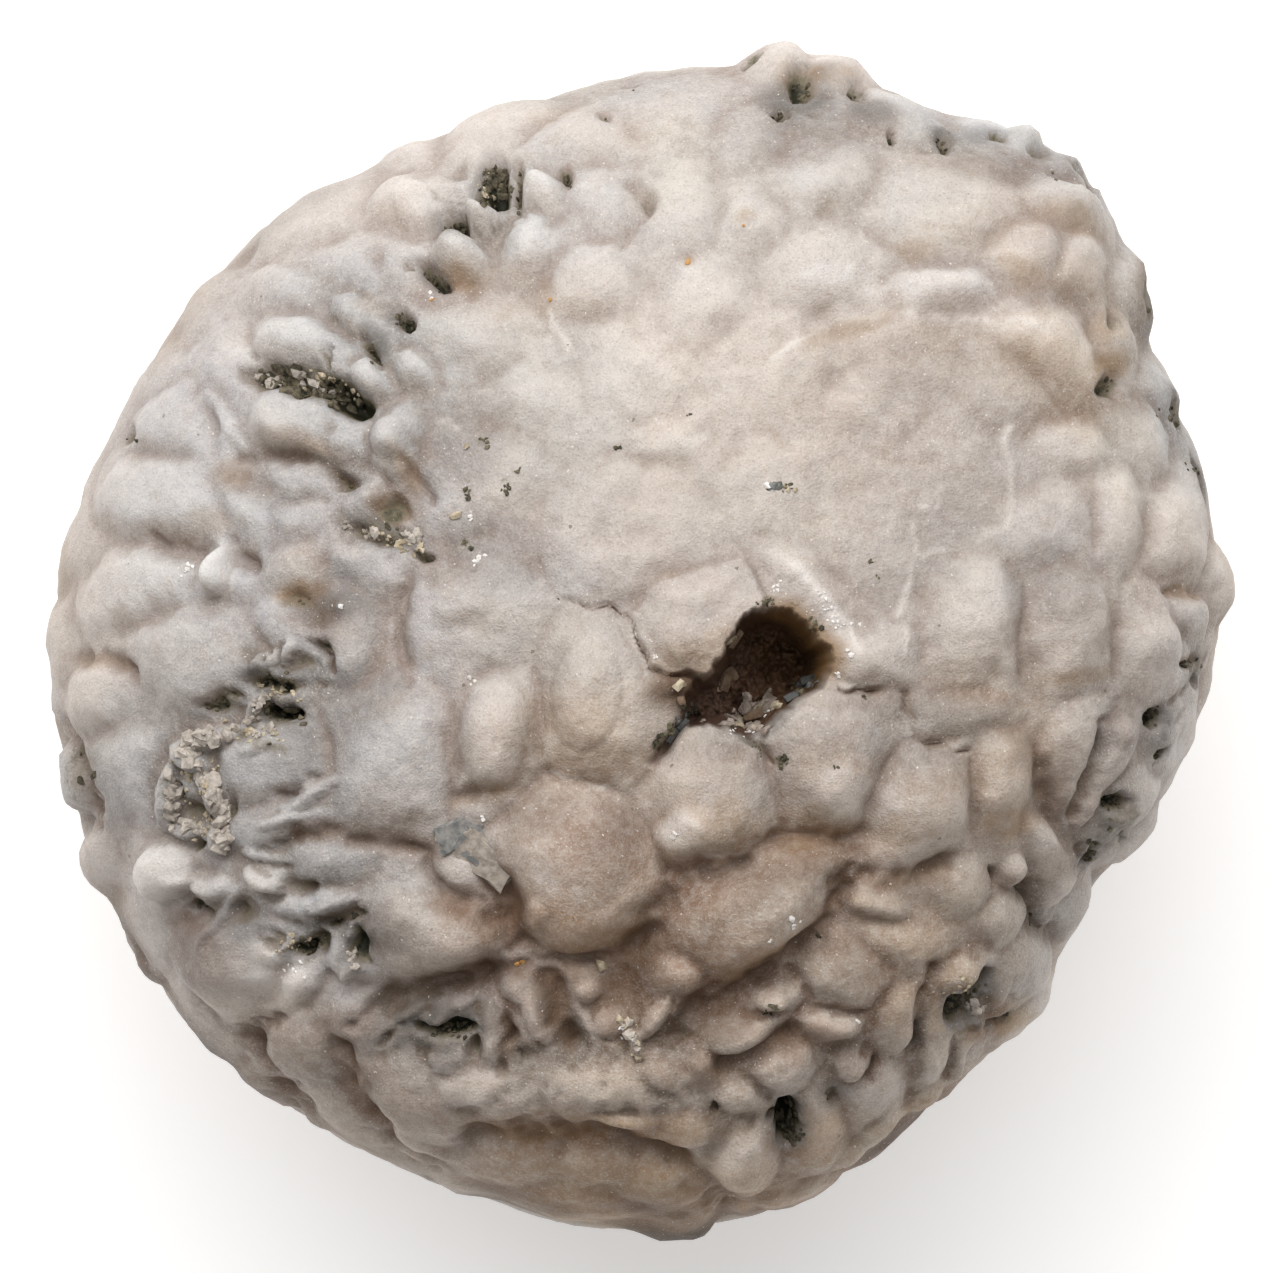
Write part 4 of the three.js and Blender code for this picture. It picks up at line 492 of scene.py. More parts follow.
        (13, 16.5, 1.6, 0.7, -30, 0.8), (7.3, -5, 1.2, 0.8, 0, 0.4), (8.9, -14, 0.8, 0.7, 0, 0.4),
        (16.9, -2.2, 0.8, 1.4, 0, 0.5), (-12, 9.4, 1.4, 0.5, 0, 0.4), (-8.3, 9, 1.4, 0.5, 0, 0.4),
        (-11.9, 6.6, 1, 0.6, 0, 0.4), (2.4, -7, 1.3, 0.5, 0, 0.4), (-4.2, -4.1, 0.8, 0.6, 0, 0.4),
        (13.6, 5.8, 1.2, 0.6, 0, 0.4), (2.4, -16.1, 1.2, 0.6, 0, 0.6),
    ],
    "warm": [
        (3.5, -9.5, 6, 3.4, 6, 0.45), (4.5, -13.6, 6.5, 2.6, 8, 0.35), (0.3, -18.6, 6, 2.4, 0, 1),
        (-10.5, -14.6, 5, 2.4, -35, 0.45), (10, -10.5, 4.5, 3, 30, 0.5), (8.3, -15.8, 3, 1.6, 36, 1),
        (11.4, -12.2, 1.2, 0.9, 0, 1), (-2, -3.8, 2.2, 2.4, 0, 0.3), (12, -3, 4, 2.2, -20, 0.35),
        (2.3, -0.8, 2, 1.2, 20, 0.5), (5, -6.4, 4, 1.2, 0, 0.5), (14, 8.6, 2.5, 1.4, -30, 0.5),
        (-1.5, -16, 5, 0.9, 0, 1), (12, -12.2, 0.8, 0.6, 0, 0.8), (-2.3, -9.4, 2.6, 1.2, -10, 0.5),
        (6.5, -16, 2.5, 1.2, 0, 0.7),
    ],
    "cool": [
        (-8.8, 9.2, 4, 3.6, -20, 1), (-3, 8, 3, 3, 0, 0.8), (-14, 4, 3.5, 4.5, 0, 0.8),
        (-4.5, 14, 3.2, 1.8, 40, 0.8), (4, 15, 7, 3, 0, 0.6), (-9, -8.2, 3, 2, 0, 1),
        (-12.5, -4, 6, 4, 0, 0.7), (16.6, 9.5, 2.2, 6, 20, 1), (10.5, 16.6, 4, 1.2, -20, 0.9),
        (-1, 18.3, 4, 1.2, 0, 0.9), (-8.8, 7, 1.6, 4, 0, 0.6), (-13, 2.6, 3, 1.4, 0, 0.7),
        (-16, -3.8, 2.6, 2.4, 0, 0.8), (1.7, -13, 1.2, 0.8, 0, 1), (-10.5, -1, 1.4, 1.2, 0, 0.8),
        (-9, -14.3, 1.2, 1, 0, 0.6), (-15, -9.5, 1.5, 1.5, 0, 0.6), (-3.5, -3.6, 0.8, 1.2, 0, 0.6),
        (3.4, -2.6, 1.8, 0.8, 20, 0.8), (13.5, 2.2, 2, 1.2, 0, 0.7), (9.2, -3, 2.2, 1.2, 0, 0.6),
        (16.8, 6.5, 2, 2, 0, 0.7), (6.5, 17.2, 3, 1, -10, 0.8), (13.5, 15, 3, 1.2, -40, 0.8),
        (-3, 0.5, 3, 2, 0, 0.5), (11.5, 2.5, 2, 1.6, 0, 0.5), (4, 4.5, 3, 1.5, 0, 0.3),
        (4.8, -7.9, 2, 1, 30, 0.7), (2.2, -13, 1.2, 0.9, 0, 0.9), (-10.9, 1.9, 2.2, 1.2, 0, 0.9),
        (-18.6, -4.8, 0.8, 1.4, 0, 0.9), (-13.5, -8.5, 1.2, 1.2, 0, 0.6), (-5.6, -8.8, 1.2, 0.8, 0, 0.6),
        (-9.3, -14, 1.2, 1, 0, 0.7),
    ],
    "rosy": [
        (-1, -11.8, 5.5, 3, 0, 0.5), (-5.2, -8.8, 1.4, 1.6, -30, 0.7), (-0.5, -9.8, 1.6, 1.6, -30, 0.8),
        (-1, -6.6, 2, 1.2, -20, 0.6), (1.8, -8, 1.2, 1, 30, 0.6), (6, -9.6, 1.4, 0.8, 30, 0.6),
        (5.6, -13, 1.8, 0.8, 0, 0.8), (-4.6, -8.3, 1, 1.6, 20, 0.8), (2.5, -11, 2, 0.8, 30, 0.8),
        (7, -6.8, 1.6, 0.8, 0, 0.7), (2.6, -0.8, 1.8, 1.4, 30, 0.5), (-8, -5.2, 1.4, 1, 0, 0.5),
        (-2.5, -3.5, 2.5, 1.5, 0, 0.4), (-1.5, -15.9, 5, 1.1, 0, 1), (2.5, -18.6, 4, 1.6, 0, 1),
        (8.5, -16.4, 2.6, 1.3, 36, 1), (11.4, -12.3, 1, 0.8, 0, 1), (-2.2, -9.4, 2.6, 1.2, -10, 1),
        (2.8, -10.9, 2.4, 0.9, 30, 1), (1.2, -7.6, 1.1, 1, 0, 1), (-4, -15.8, 3, 0.8, 0, 0.8),
        (5.5, -16.2, 1.6, 1, 0, 0.8),
    ],
    # broad darkening, partly grey dirt and partly painted shade where the light falls off
    "dim": [
        (1.4, -1.4, 1.2, 0.9, 20, 0.8), (8.8, -1.8, 3.2, 0.7, -5, 0.5), (6, -1.7, 1.4, 0.6, 0, 0.4),
        (-9, -1.6, 1.6, 1.3, 0, 0.5), (-5.6, 6.7, 1.8, 1.6, 0, 0.35), (-5.2, 3, 2, 1.4, 0, 0.35),
        (-9.9, 0.8, 0.8, 2, 0, 0.35), (-10.2, -3.2, 1, 1.2, 0, 0.3), (-12.6, 5, 1.2, 0.8, -20, 0.35),
        (-0.9, -6.4, 1, 1.5, -20, 0.5), (-3.3, -5.5, 1.4, 0.7, 10, 0.4), (-3.5, -8.9, 0.8, 0.8, 0, 0.35),
        (3.2, -8, 2.6, 0.7, 25, 0.3), (6.5, -7.2, 1.8, 0.5, 0, 0.35), (-8.5, -9.2, 1.8, 0.8, -15, 0.7),
        (0, 5.4, 4, 1.4, 0, 0.15), (5.8, -2.6, 2, 1.2, 0, 0.15), (-17.8, -4.4, 0.8, 2, 15, 0.6),
        (2.9, -2.5, 0.9, 0.6, 0, 0.6), (-3.6, -8.8, 0.9, 1, 0, 0.4), (-6.4, -12.1, 1.3, 0.7, 0, 0.4),
        (8.7, -16.5, 2.2, 0.9, 36, 0.7), (-14.5, -13, 3, 0.8, -50, 0.8), (-16.8, -10, 0.8, 2, 25, 0.6),
        (18.5, 4.8, 0.9, 1.2, 0, 0.8), (11.5, 15.4, 2.2, 0.7, -15, 0.6), (0.8, -18.6, 1.4, 0.8, -30, 0.6),
        (-3.8, -18.9, 2, 0.5, -12, 0.6), (4, -18.6, 1, 0.7, 0, 0.5), (-9, -17, 2, 0.6, -30, 0.5),
        (13.6, 11.3, 1.2, 0.6, 0, 0.4), (16.6, 11.4, 0.7, 0.9, 0, 0.5), (-12, 14.6, 3, 0.9, 30, 0.4),
        (-7.4, 5.2, 1, 0.7, 0, 0.4), (10.8, -11.4, 0.7, 0.6, 0, 0.5), (-13, -10, 0.8, 0.8, 0, 0.5),
        (8.8, -8.1, 1.6, 0.5, 0, 0.4), (0.3, -11.1, 1, 0.8, 0, 0.4), (-3.6, -14.4, 1.6, 0.7, 0, 0.35),
        (-14, -10, 1.6, 1.2, -40, 0.5), (-16.2, -11, 2.4, 0.9, -60, 0.4), (-9.4, -12.6, 1.2, 0.8, 20, 0.45),
        (-11.5, -13.4, 1.4, 0.8, -40, 0.3), (-7.6, -14.7, 2, 0.8, -15, 0.4), (-6, -13.6, 1.2, 0.8, 0, 0.4),
        (-4.6, -11.5, 1.2, 1, -40, 0.45), (0, -11.2, 1.2, 0.9, 0, 0.4), (2.7, -12.4, 1.2, 0.7, 20, 0.45),
        (1.5, -13.7, 1, 0.6, 0, 0.35), (-2.2, -15.1, 1.6, 0.5, 0, 0.25), (6.7, -10.3, 1, 0.7, 0, 0.4),
        (6.5, -13, 1, 0.6, 0, 0.35), (9.4, -4, 1.2, 1, 0, 0.35), (12, -3.4, 0.8, 0.8, 0, 0.3),
        (14, -6.8, 0.8, 0.7, 0, 0.45), (15.9, -2.6, 0.8, 1, 0, 0.45), (13.9, 1.7, 0.9, 1.3, 0, 0.4),
        (9.5, 2.6, 3.5, 1.6, 30, 0.2), (18.3, 5, 0.9, 1.4, 0, 0.4), (15.5, 7.8, 1.6, 0.7, 0, 0.35),
        (16.8, 11.3, 0.7, 1.3, 0, 0.45), (12.3, 15.5, 2.4, 0.7, -8, 0.4), (5.7, 16.8, 1.8, 1.2, 0, 0.4),
        (9.5, 9.2, 3, 0.8, -5, 0.2), (-12, 14.6, 3, 0.9, 35, 0.2), (1.2, -18.9, 1.6, 0.8, 0, 0.7),
        (-4, -18.1, 1.8, 0.6, -8, 0.5), (-9, -16.3, 2.4, 0.6, -28, 0.4), (8.4, -15.9, 2.2, 1, 38, 0.8),
        (-17.2, -5.6, 0.7, 1.8, 0, 0.4), (3, -0.2, 4.5, 2.2, -15, 0.15), (3, -3.2, 2, 1, 0, 0.3),
    ],
    "murk": [
        (-7, -12.6, 1.6, 0.8, 10, 0.7), (-5.5, -12.2, 1, 0.6, 0, 0.5), (-10.7, 8.3, 1.8, 0.4, -18, 0.5),
        (-8.6, 9.8, 0.35, 0.8, 10, 0.7), (-12, -1.1, 1.1, 0.5, -10, 0.8), (-11.5, -2.3, 0.9, 0.4, -20, 0.9),
        (-13.8, -2, 0.9, 0.3, 20, 0.6), (-13, -9, 1.2, 0.5, -20, 0.5), (-10.9, -9.9, 0.9, 0.4, 0, 0.5),
        (-9.2, -10, 0.5, 0.9, 15, 0.7), (-10.1, -9, 0.9, 0.25, 15, 0.6), (10.8, -11.7, 1.1, 0.9, 30, 1),
        (4.85, -15.8, 0.9, 1.2, 8, 0.7), (15.3, -6, 0.8, 1.3, 10, 0.6), (14.5, -7, 0.6, 0.8, 0, 0.6),
        (13, -8.8, 0.4, 1, 30, 0.2), (16.9, -2.8, 0.6, 1.1, 0, 0.7), (18.2, -0.8, 0.8, 0.6, 0, 0.6),
        (18.3, 5.4, 0.6, 1.2, -10, 0.7), (17.3, 7.7, 0.8, 0.5, -25, 0.7), (16.6, 11, 0.45, 1.1, 10, 0.6),
        (13.4, 15.7, 1.4, 0.4, -20, 0.4), (11.2, 16.4, 1, 0.3, -5, 0.5), (9.9, 16.5, 0.4, 0.4, 0, 0.6),
        (7.6, 17.3, 0.8, 0.5, -20, 0.6), (5, 17.9, 1.3, 0.5, 0, 0.6), (-4.9, 14.8, 0.6, 0.7, 0, 0.5),
        (-6.3, 13.3, 0.6, 0.6, 30, 0.6), (-6.8, 11.9, 0.7, 0.35, -40, 0.6),
        (-7.8, 10.6, 0.5, 0.3, -40, 0.6), (-8.5, 3.7, 1.3, 0.4, -20, 0.7), (-9.7, 5.5, 0.5, 0.25, -30, 0.7),
        (-11, 6.05, 1.4, 0.2, -5, 0.6), (6.3, -14.7, 0.6, 0.5, 0, 0.5), (9, -12.7, 0.25, 0.8, 0, 0.7),
        (1.3, -12.6, 0.4, 0.6, 0, 0.5), (-3, -11.6, 0.5, 0.7, 10, 0.4), (1.2, -2.95, 0.8, 0.2, 50, 0.6),
        (4.6, -2.5, 1, 0.2, 40, 0.4), (5.6, 18.3, 0.8, 0.3, 0, 0.4), (1.2, -19.6, 2.2, 0.6, 0, 0.8),
        (1.5, -2.3, 0.3, 0.5, -20, 0.6), (3.6, -3.15, 0.7, 0.15, -30, 0.6), (-10.1, 1.2, 1.3, 0.6, 0, 0.5),
        (-11.2, -3.3, 0.9, 1, 0, 0.3), (-12.5, -0.2, 0.6, 0.5, 0, 0.3), (13.2, -4.7, 0.3, 1.2, 0, 0.3),
        (-8.3, -11.8, 0.9, 0.3, 15, 0.5),
    ],
    "tan": [
        (-2, -7.6, 2.8, 2.6, -30, 1), (3.4, -8.7, 3.7, 2, 28, 1), (6.3, -4.6, 2, 1.8, 0, 0.7),
        (9.3, -5.6, 1.8, 1.8, 0, 0.7), (-4.9, -3.6, 1.2, 1.6, 0, 0.5), (2, -5.8, 2, 1.4, 0, 0.8),
        (-6.8, -9.4, 2.4, 1.6, -20, 0.7), (8.5, -10.8, 3.2, 2.4, 0, 0.8), (-1.9, -1.8, 1.6, 1, 84, 0.5),
        (8, 7.5, 4.5, 4, 0, 0.3), (11.9, -5.4, 1.4, 2, 0, 0.7), (4, -17, 3, 2, 0, 0.9),
        (-2.5, -17.6, 5, 1.8, 0, 1), (9, -15.8, 4, 1.8, 30, 1), (14.5, 10.5, 3, 1.5, -30, 0.5),
        (-11.2, 2.2, 1.2, 1, 0, 0.8), (-8.2, 4.6, 0.9, 1.2, 0, 0.8), (12.5, -13, 3, 1.5, 40, 0.8),
        (-18.5, 2, 1.5, 4, 0, 0.2), (5, 12.8, 3, 1.8, 0, 0.3), (-10.5, -16.5, 4, 1, -30, 0.6),
        (3, -12.8, 2.4, 1.2, 20, 0.5), (14.4, 0, 1.4, 2.4, 0, 0.3), (-8.6, 11.1, 0.6, 0.4, 0, 0.7),
    ],
    "grey": [
        (-9, -1.6, 1.4, 1.2, 0, 0.9), (-5.2, 2.7, 1.8, 1.2, 0, 0.6), (-5.7, 6.5, 1.4, 1.2, 0, 0.6),
        (-14.5, -1, 3, 2, 0, 0.7), (-10.5, -5, 3.5, 3, 0, 0.8), (-12.5, -10.5, 3, 3, 0, 0.3),
        (-9.5, 7.5, 3.5, 3.5, 0, 0.6), (-8.6, 1, 1.2, 3, 0, 0.8), (-12.5, -14, 3, 2, -40, 0.7),
        (-3.8, 2.8, 1.8, 1.2, 20, 0.5), (-6.5, -12, 2.5, 1.8, 0, 0.7), (15, -4, 1.5, 3.5, 0, 0.7),
        (17.5, 0.5, 1.6, 3, 0, 0.4), (12.5, -9.5, 2, 2.5, 0, 0.6), (10, 11.9, 2, 1, -8, 0.4),
        (-6, 8.5, 2, 2.5, 0, 0.4), (4.5, 17.6, 2.5, 1.5, 0, 0.4), (10, -3, 2.5, 1.2, 0, 0.4),
        (-10, 12.5, 3, 1.5, 20, 0.3), (6, -12.5, 2.5, 1.8, 0, 0.5), (-16.5, -5, 2, 2, 0, 0.5),
    ],
}

# Each kind: its colours, roughness, how flat its crumbs lie, what share of them may lie outside the pits,
# then heaps of x, y, half length, half width, turn, count, smallest and largest crumb.
crumbs = {
    "darkSilt": {
        "colours": (colour(46, 45, 34), colour(112, 105, 84)),
        "roughness": 0.85, "flatness": 0.7, "strays": 1,
        "heaps": [
            # in and round the anal opening
            (0.9, -3, 0.7, 0.25, 50, 26, 0.06, 0.16), (4.1, 1.35, 0.4, 0.15, 10, 12, 0.05, 0.12),
            (4.6, -3.8, 0.25, 0.22, 0, 12, 0.06, 0.14), (3.8, -3.4, 0.5, 0.1, -50, 9, 0.04, 0.1),
            (5.7, 0.65, 0.3, 0.15, -40, 6, 0.06, 0.14), (1.6, -2.2, 0.3, 0.4, 0, 12, 0.07, 0.15),
            (5.3, -1.4, 0.6, 0.2, 20, 10, 0.08, 0.18), (7.3, -1.72, 0.08, 0.08, 0, 3, 0.05, 0.09),
            (6.4, -4, 0.15, 0.08, 0, 4, 0.04, 0.08),
            # specks of the middle
            (-4.4, 5.1, 0.14, 0.2, 0, 9, 0.05, 0.12), (-4, 5.7, 0.15, 0.1, 30, 5, 0.04, 0.08),
            (-5.1, 6.6, 0.3, 0.15, -20, 8, 0.05, 0.11), (-0.7, 6.45, 0.12, 0.08, 0, 4, 0.04, 0.09),
            (-5.6, 4.95, 0.12, 0.25, 0, 6, 0.05, 0.1), (1.6, 7.5, 0.08, 0.15, 0, 4, 0.04, 0.08),
            (7.6, 2.7, 0.12, 0.07, 0, 4, 0.04, 0.08), (7.8, 2.2, 0.1, 0.08, 0, 3, 0.04, 0.08),
            (-5.6, 3.2, 0.3, 0.12, -30, 8, 0.05, 0.11), (-7.1, 2.9, 0.4, 0.2, 0, 10, 0.05, 0.13),
            (4.3, -12, 0.35, 0.18, 10, 10, 0.05, 0.13), (4.8, 5.1, 0.3, 0.15, 0, 6, 0.05, 0.1),
            (5.8, -9.6, 0.12, 0.12, 0, 4, 0.05, 0.1), (-2.7, 1.5, 0.05, 0.05, 0, 1, 0.05, 0.08),
        ]},
    "pitSilt": {
        "colours": (colour(50, 46, 35), colour(110, 101, 82)),
        "roughness": 0.85, "flatness": 0.7, "strays": 0.06,
        "heaps": [
            # upper left pits
            (-10.7, 8.4, 1.9, 0.6, -20, 130, 0.1, 0.26), (-8.9, 9.7, 0.2, 0.5, 10, 10, 0.06, 0.14),
            (-4.8, 15, 0.6, 0.9, 0, 50, 0.08, 0.2), (-6.1, 13.6, 0.5, 0.35, 20, 24, 0.06, 0.18),
            (-4, 14.9, 0.12, 0.7, 0, 12, 0.05, 0.11), (-2.4, 15.2, 0.25, 0.3, 0, 12, 0.06, 0.14),
            (-6.7, 11.9, 0.6, 0.25, -45, 20, 0.06, 0.15), (-7.7, 10.6, 0.4, 0.3, -40, 16, 0.06, 0.15),
            (-8.3, 3.6, 1, 0.3, -25, 26, 0.06, 0.15), (-0.2, 18.2, 0.3, 0.2, 0, 7, 0.05, 0.11),
            (-1.1, 17.2, 0.5, 0.2, -30, 9, 0.05, 0.11), (-9.7, 5.4, 0.4, 0.15, -50, 8, 0.05, 0.1),
            # left pits
            (-11.8, -2.3, 0.9, 0.4, -15, 30, 0.07, 0.18), (-12.1, -1.1, 0.8, 0.35, -10, 24, 0.06, 0.16),
            (-13.7, -1.9, 0.6, 0.3, 25, 14, 0.06, 0.14), (-15.1, -4.8, 0.4, 0.5, 0, 18, 0.06, 0.15),
            (-13.9, -5.4, 0.35, 0.7, 5, 20, 0.06, 0.14), (-11, -9.8, 0.6, 0.4, 0, 20, 0.06, 0.15),
            (-11.2, 1.4, 0.6, 0.3, 10, 12, 0.06, 0.14), (-18.4, -4, 0.4, 1.2, 0, 30, 0.08, 0.18),
            (-16.7, 6.7, 0.4, 0.3, 30, 12, 0.06, 0.14), (-12.2, -3.2, 1.2, 0.3, -20, 16, 0.05, 0.12),
            (-9.8, -9, 0.6, 0.25, 20, 14, 0.05, 0.13), (-11.3, -7.8, 0.5, 0.2, 0, 10, 0.05, 0.12),
            (-14.2, -8.5, 0.5, 0.3, 0, 10, 0.05, 0.12), (-17.7, -9, 0.4, 0.5, 0, 8, 0.06, 0.13),
            # bottom and lower right pits
            (-6.2, -12.7, 0.8, 0.45, 20, 30, 0.06, 0.17), (4.9, -15.7, 0.5, 1, 8, 44, 0.07, 0.18),
            (2.5, -15.1, 0.12, 0.2, 0, 5, 0.05, 0.1), (10.7, -11.6, 0.8, 0.4, 30, 36, 0.06, 0.18),
            (11.9, -12.1, 0.7, 0.4, -20, 16, 0.06, 0.15), (6.2, -14.7, 0.2, 0.4, 20, 8, 0.05, 0.12),
            (1.5, -12.9, 0.15, 0.3, 0, 5, 0.04, 0.09), (-8.3, -11.6, 0.8, 0.3, 15, 14, 0.05, 0.12),
            (14.8, -6.6, 0.35, 0.7, 15, 22, 0.06, 0.15), (15.6, -5.6, 0.5, 0.7, 0, 24, 0.06, 0.14),
            (16.8, -2.4, 0.35, 0.5, -20, 18, 0.06, 0.15), (16.9, -3.6, 0.3, 0.3, 0, 10, 0.05, 0.12),
            (18.3, -0.7, 0.7, 0.4, 0, 22, 0.06, 0.16), (12.9, -8.8, 0.3, 0.6, 0, 10, 0.05, 0.12),
            # right and upper right pits
            (18.3, 5.7, 0.6, 0.4, -60, 16, 0.06, 0.15), (17.4, 7.6, 0.7, 0.4, -30, 24, 0.06, 0.16),
            (15.4, 8.4, 0.35, 0.4, 0, 8, 0.05, 0.12), (16.6, 11, 0.3, 0.7, 0, 14, 0.06, 0.14),
            (14.1, 15.4, 0.6, 0.35, -10, 24, 0.06, 0.15), (12.8, 15.8, 0.5, 0.3, -10, 16, 0.05, 0.12),
            (11.4, 16.4, 0.3, 0.25, 0, 12, 0.05, 0.12), (9.9, 16.4, 0.25, 0.35, 10, 14, 0.05, 0.13),
            (8.2, 16.5, 0.2, 0.3, 0, 8, 0.05, 0.11), (7, 17.8, 0.3, 0.45, 10, 18, 0.06, 0.14),
            (5.3, 18.2, 0.4, 0.4, 0, 14, 0.06, 0.14), (4.6, 17.4, 0.35, 0.3, 0, 10, 0.05, 0.12),
        ]},
    "paleRubble": {
        "colours": (colour(126, 112, 102), colour(182, 168, 157)),
        "roughness": 0.8, "flatness": 0.8, "strays": 1,
        "heaps": [
            (4.2, -1.95, 0.5, 0.15, 12, 9, 0.2, 0.4), (3.6, -1.9, 0.3, 0.2, 60, 6, 0.2, 0.36),
            (3, -2.6, 0.3, 0.2, 40, 6, 0.18, 0.34), (3.8, -2.75, 0.5, 0.1, -10, 9, 0.14, 0.26),
            (2.1, -2.5, 0.15, 0.1, 20, 3, 0.08, 0.14), (3.4, -2.2, 0.6, 0.3, 0, 8, 0.08, 0.16),
        ]},
    "ridgeGrit": {
        "colours": (colour(146, 137, 127), colour(192, 182, 171)),
        "roughness": 0.8, "flatness": 0.9, "strays": 1,
        "heaps": [
            (-14.2, -3.1, 1.2, 0.22, 15, 34, 0.12, 0.3), (-14.8, -3.7, 0.6, 0.25, -30, 16, 0.12, 0.3),
            (-15.4, -5, 0.2, 1.2, 0, 34, 0.1, 0.28), (-13.9, -5, 0.22, 1, 25, 30, 0.1, 0.28),
            (-13.7, -6.2, 0.3, 0.6, -10, 22, 0.12, 0.3), (-14.4, -4.5, 0.3, 0.2, 0, 6, 0.1, 0.22),
            (-12.6, -2.2, 0.18, 0.7, -25, 16, 0.1, 0.24), (-14.7, -6, 0.5, 0.2, -20, 12, 0.1, 0.24),
            (-12.3, -2.9, 0.5, 0.15, 20, 8, 0.1, 0.22), (-9, 3.7, 0.9, 0.18, -20, 12, 0.1, 0.22),
            (-7.5, 3.5, 0.35, 0.3, 0, 12, 0.1, 0.24), (-10.8, 8.6, 0.8, 0.25, -25, 14, 0.1, 0.24),
            (-12.1, 8.7, 0.6, 0.25, 0, 12, 0.1, 0.22), (-0.3, -12.8, 0.15, 0.7, 20, 10, 0.1, 0.2),
            (-9.4, -10.2, 0.25, 0.6, 10, 10, 0.08, 0.18), (11, -12, 0.35, 0.3, 0, 8, 0.1, 0.2),
        ]},
    "paleSilt": {
        "colours": (colour(150, 136, 112), colour(196, 182, 158)),
        "roughness": 0.8, "flatness": 0.8, "strays": 1,
        "heaps": [
            (4.1, -2.1, 0.5, 0.2, 10, 9, 0.16, 0.34), (2.7, -1.3, 0.2, 0.15, 0, 4, 0.12, 0.24),
            (3.4, -2.7, 0.5, 0.2, 0, 9, 0.1, 0.26), (3, 0.2, 0.1, 0.4, -25, 4, 0.08, 0.18),
            (1.3, -1.3, 0.3, 0.2, 0, 5, 0.1, 0.2), (-6, 4.1, 0.12, 0.12, 0, 1, 0.17, 0.2),
            (-5.7, 6.5, 0.1, 0.1, 0, 1, 0.14, 0.18), (-7.6, 3.2, 0.5, 0.3, -10, 12, 0.07, 0.15),
            (-8.4, 3.5, 0.6, 0.25, -20, 12, 0.07, 0.15), (-1.2, -10.5, 0.2, 0.15, 0, 2, 0.14, 0.22),
            (-14.7, -4.4, 1, 1, 0, 30, 0.06, 0.14), (-12.8, -2.9, 1.2, 0.3, -15, 24, 0.06, 0.15),
            (-10.5, 8.6, 1.4, 0.35, -20, 24, 0.06, 0.16), (-11.9, -1.6, 0.9, 0.3, -10, 18, 0.06, 0.14),
            (-0.3, -12.9, 0.35, 0.8, 20, 16, 0.06, 0.15), (-14.4, -6, 0.7, 0.5, 0, 18, 0.06, 0.15),
            (4.8, 5.1, 0.35, 0.2, 0, 4, 0.08, 0.15), (-5, 15, 0.4, 0.6, 0, 12, 0.06, 0.14),
            (-11.4, -9.8, 0.8, 0.3, 20, 14, 0.06, 0.13), (10.5, -11.2, 0.6, 0.4, 20, 12, 0.06, 0.13),
        ]},
    "whiteFlecks": {
        "colours": (colour(214, 208, 202), colour(236, 232, 228)),
        "roughness": 0.5, "flatness": 0.6, "strays": 1,
        "heaps": [
            (-5.3, 2.7, 0.35, 0.12, 40, 9, 0.06, 0.14), (-5.5, 4.1, 0.1, 0.3, 0, 6, 0.05, 0.1),
            (3.3, -2.9, 0.5, 0.15, 0, 8, 0.05, 0.12), (3.9, -2.2, 0.4, 0.2, 0, 5, 0.06, 0.12),
            (0.4, -0.2, 0.6, 0.1, -65, 8, 0.03, 0.07), (-0.1, 0.3, 0.05, 0.05, 0, 1, 0.07, 0.09),
            (5, -9, 0.25, 0.3, 20, 6, 0.05, 0.12), (4.3, -9.7, 0.1, 0.1, 0, 2, 0.06, 0.1),
            (-5.2, -5.7, 0.12, 0.12, 0, 3, 0.07, 0.13), (7.2, -12.4, 0.15, 0.1, 0, 2, 0.08, 0.12),
            (-5.5, -1.2, 0.2, 0.15, 0, 4, 0.05, 0.1), (-14.9, 2.4, 0.5, 0.15, 60, 7, 0.05, 0.12),
            (-9.8, 1.2, 0.08, 0.08, 0, 1, 0.1, 0.12), (6.3, 0.9, 0.8, 0.25, -55, 18, 0.03, 0.08),
            (-11.4, -10.7, 0.5, 0.4, 0, 7, 0.05, 0.11), (-6.8, 11.4, 0.2, 0.2, 0, 3, 0.05, 0.1),
            (4.45, 1.9, 0.25, 0.2, 0, 8, 0.04, 0.08), (6.9, -0.3, 0.12, 0.2, 0, 5, 0.06, 0.12),
            (7.1, 0.65, 0.2, 0.08, 0, 4, 0.05, 0.1), (6.5, -0.95, 0.12, 0.12, 0, 4, 0.05, 0.1),
            (5.9, 1.7, 0.4, 0.15, -45, 6, 0.04, 0.1), (4.25, 5.15, 0.15, 0.12, 0, 4, 0.08, 0.15),
            (1.3, -6.2, 0.3, 0.2, 0, 5, 0.04, 0.09), (-0.6, -12.6, 0.25, 0.4, 20, 6, 0.05, 0.1),
        ]},
    "rustGrains": {
        "colours": (colour(150, 104, 50), colour(200, 150, 90)),
        "roughness": 0.7, "flatness": 0.7, "strays": 1,
        "heaps": [
            (-3.9, -10.45, 0.15, 0.12, 0, 3, 0.08, 0.14), (-6.8, 11.3, 0.05, 0.05, 0, 1, 0.08, 0.1),
            (1.6, 12.5, 0.06, 0.06, 0, 1, 0.1, 0.13), (3.4, 13.7, 0.05, 0.05, 0, 1, 0.07, 0.09),
            (-2.9, 11.3, 0.05, 0.05, 0, 1, 0.07, 0.09), (-2.2, -8.9, 0.06, 0.06, 0, 1, 0.05, 0.08),
        ]},
    "blueCrystals": {
        "colours": (colour(70, 72, 70), colour(128, 128, 124)),
        "roughness": 0.5, "flatness": 0.6, "strays": 1,
        "heaps": [
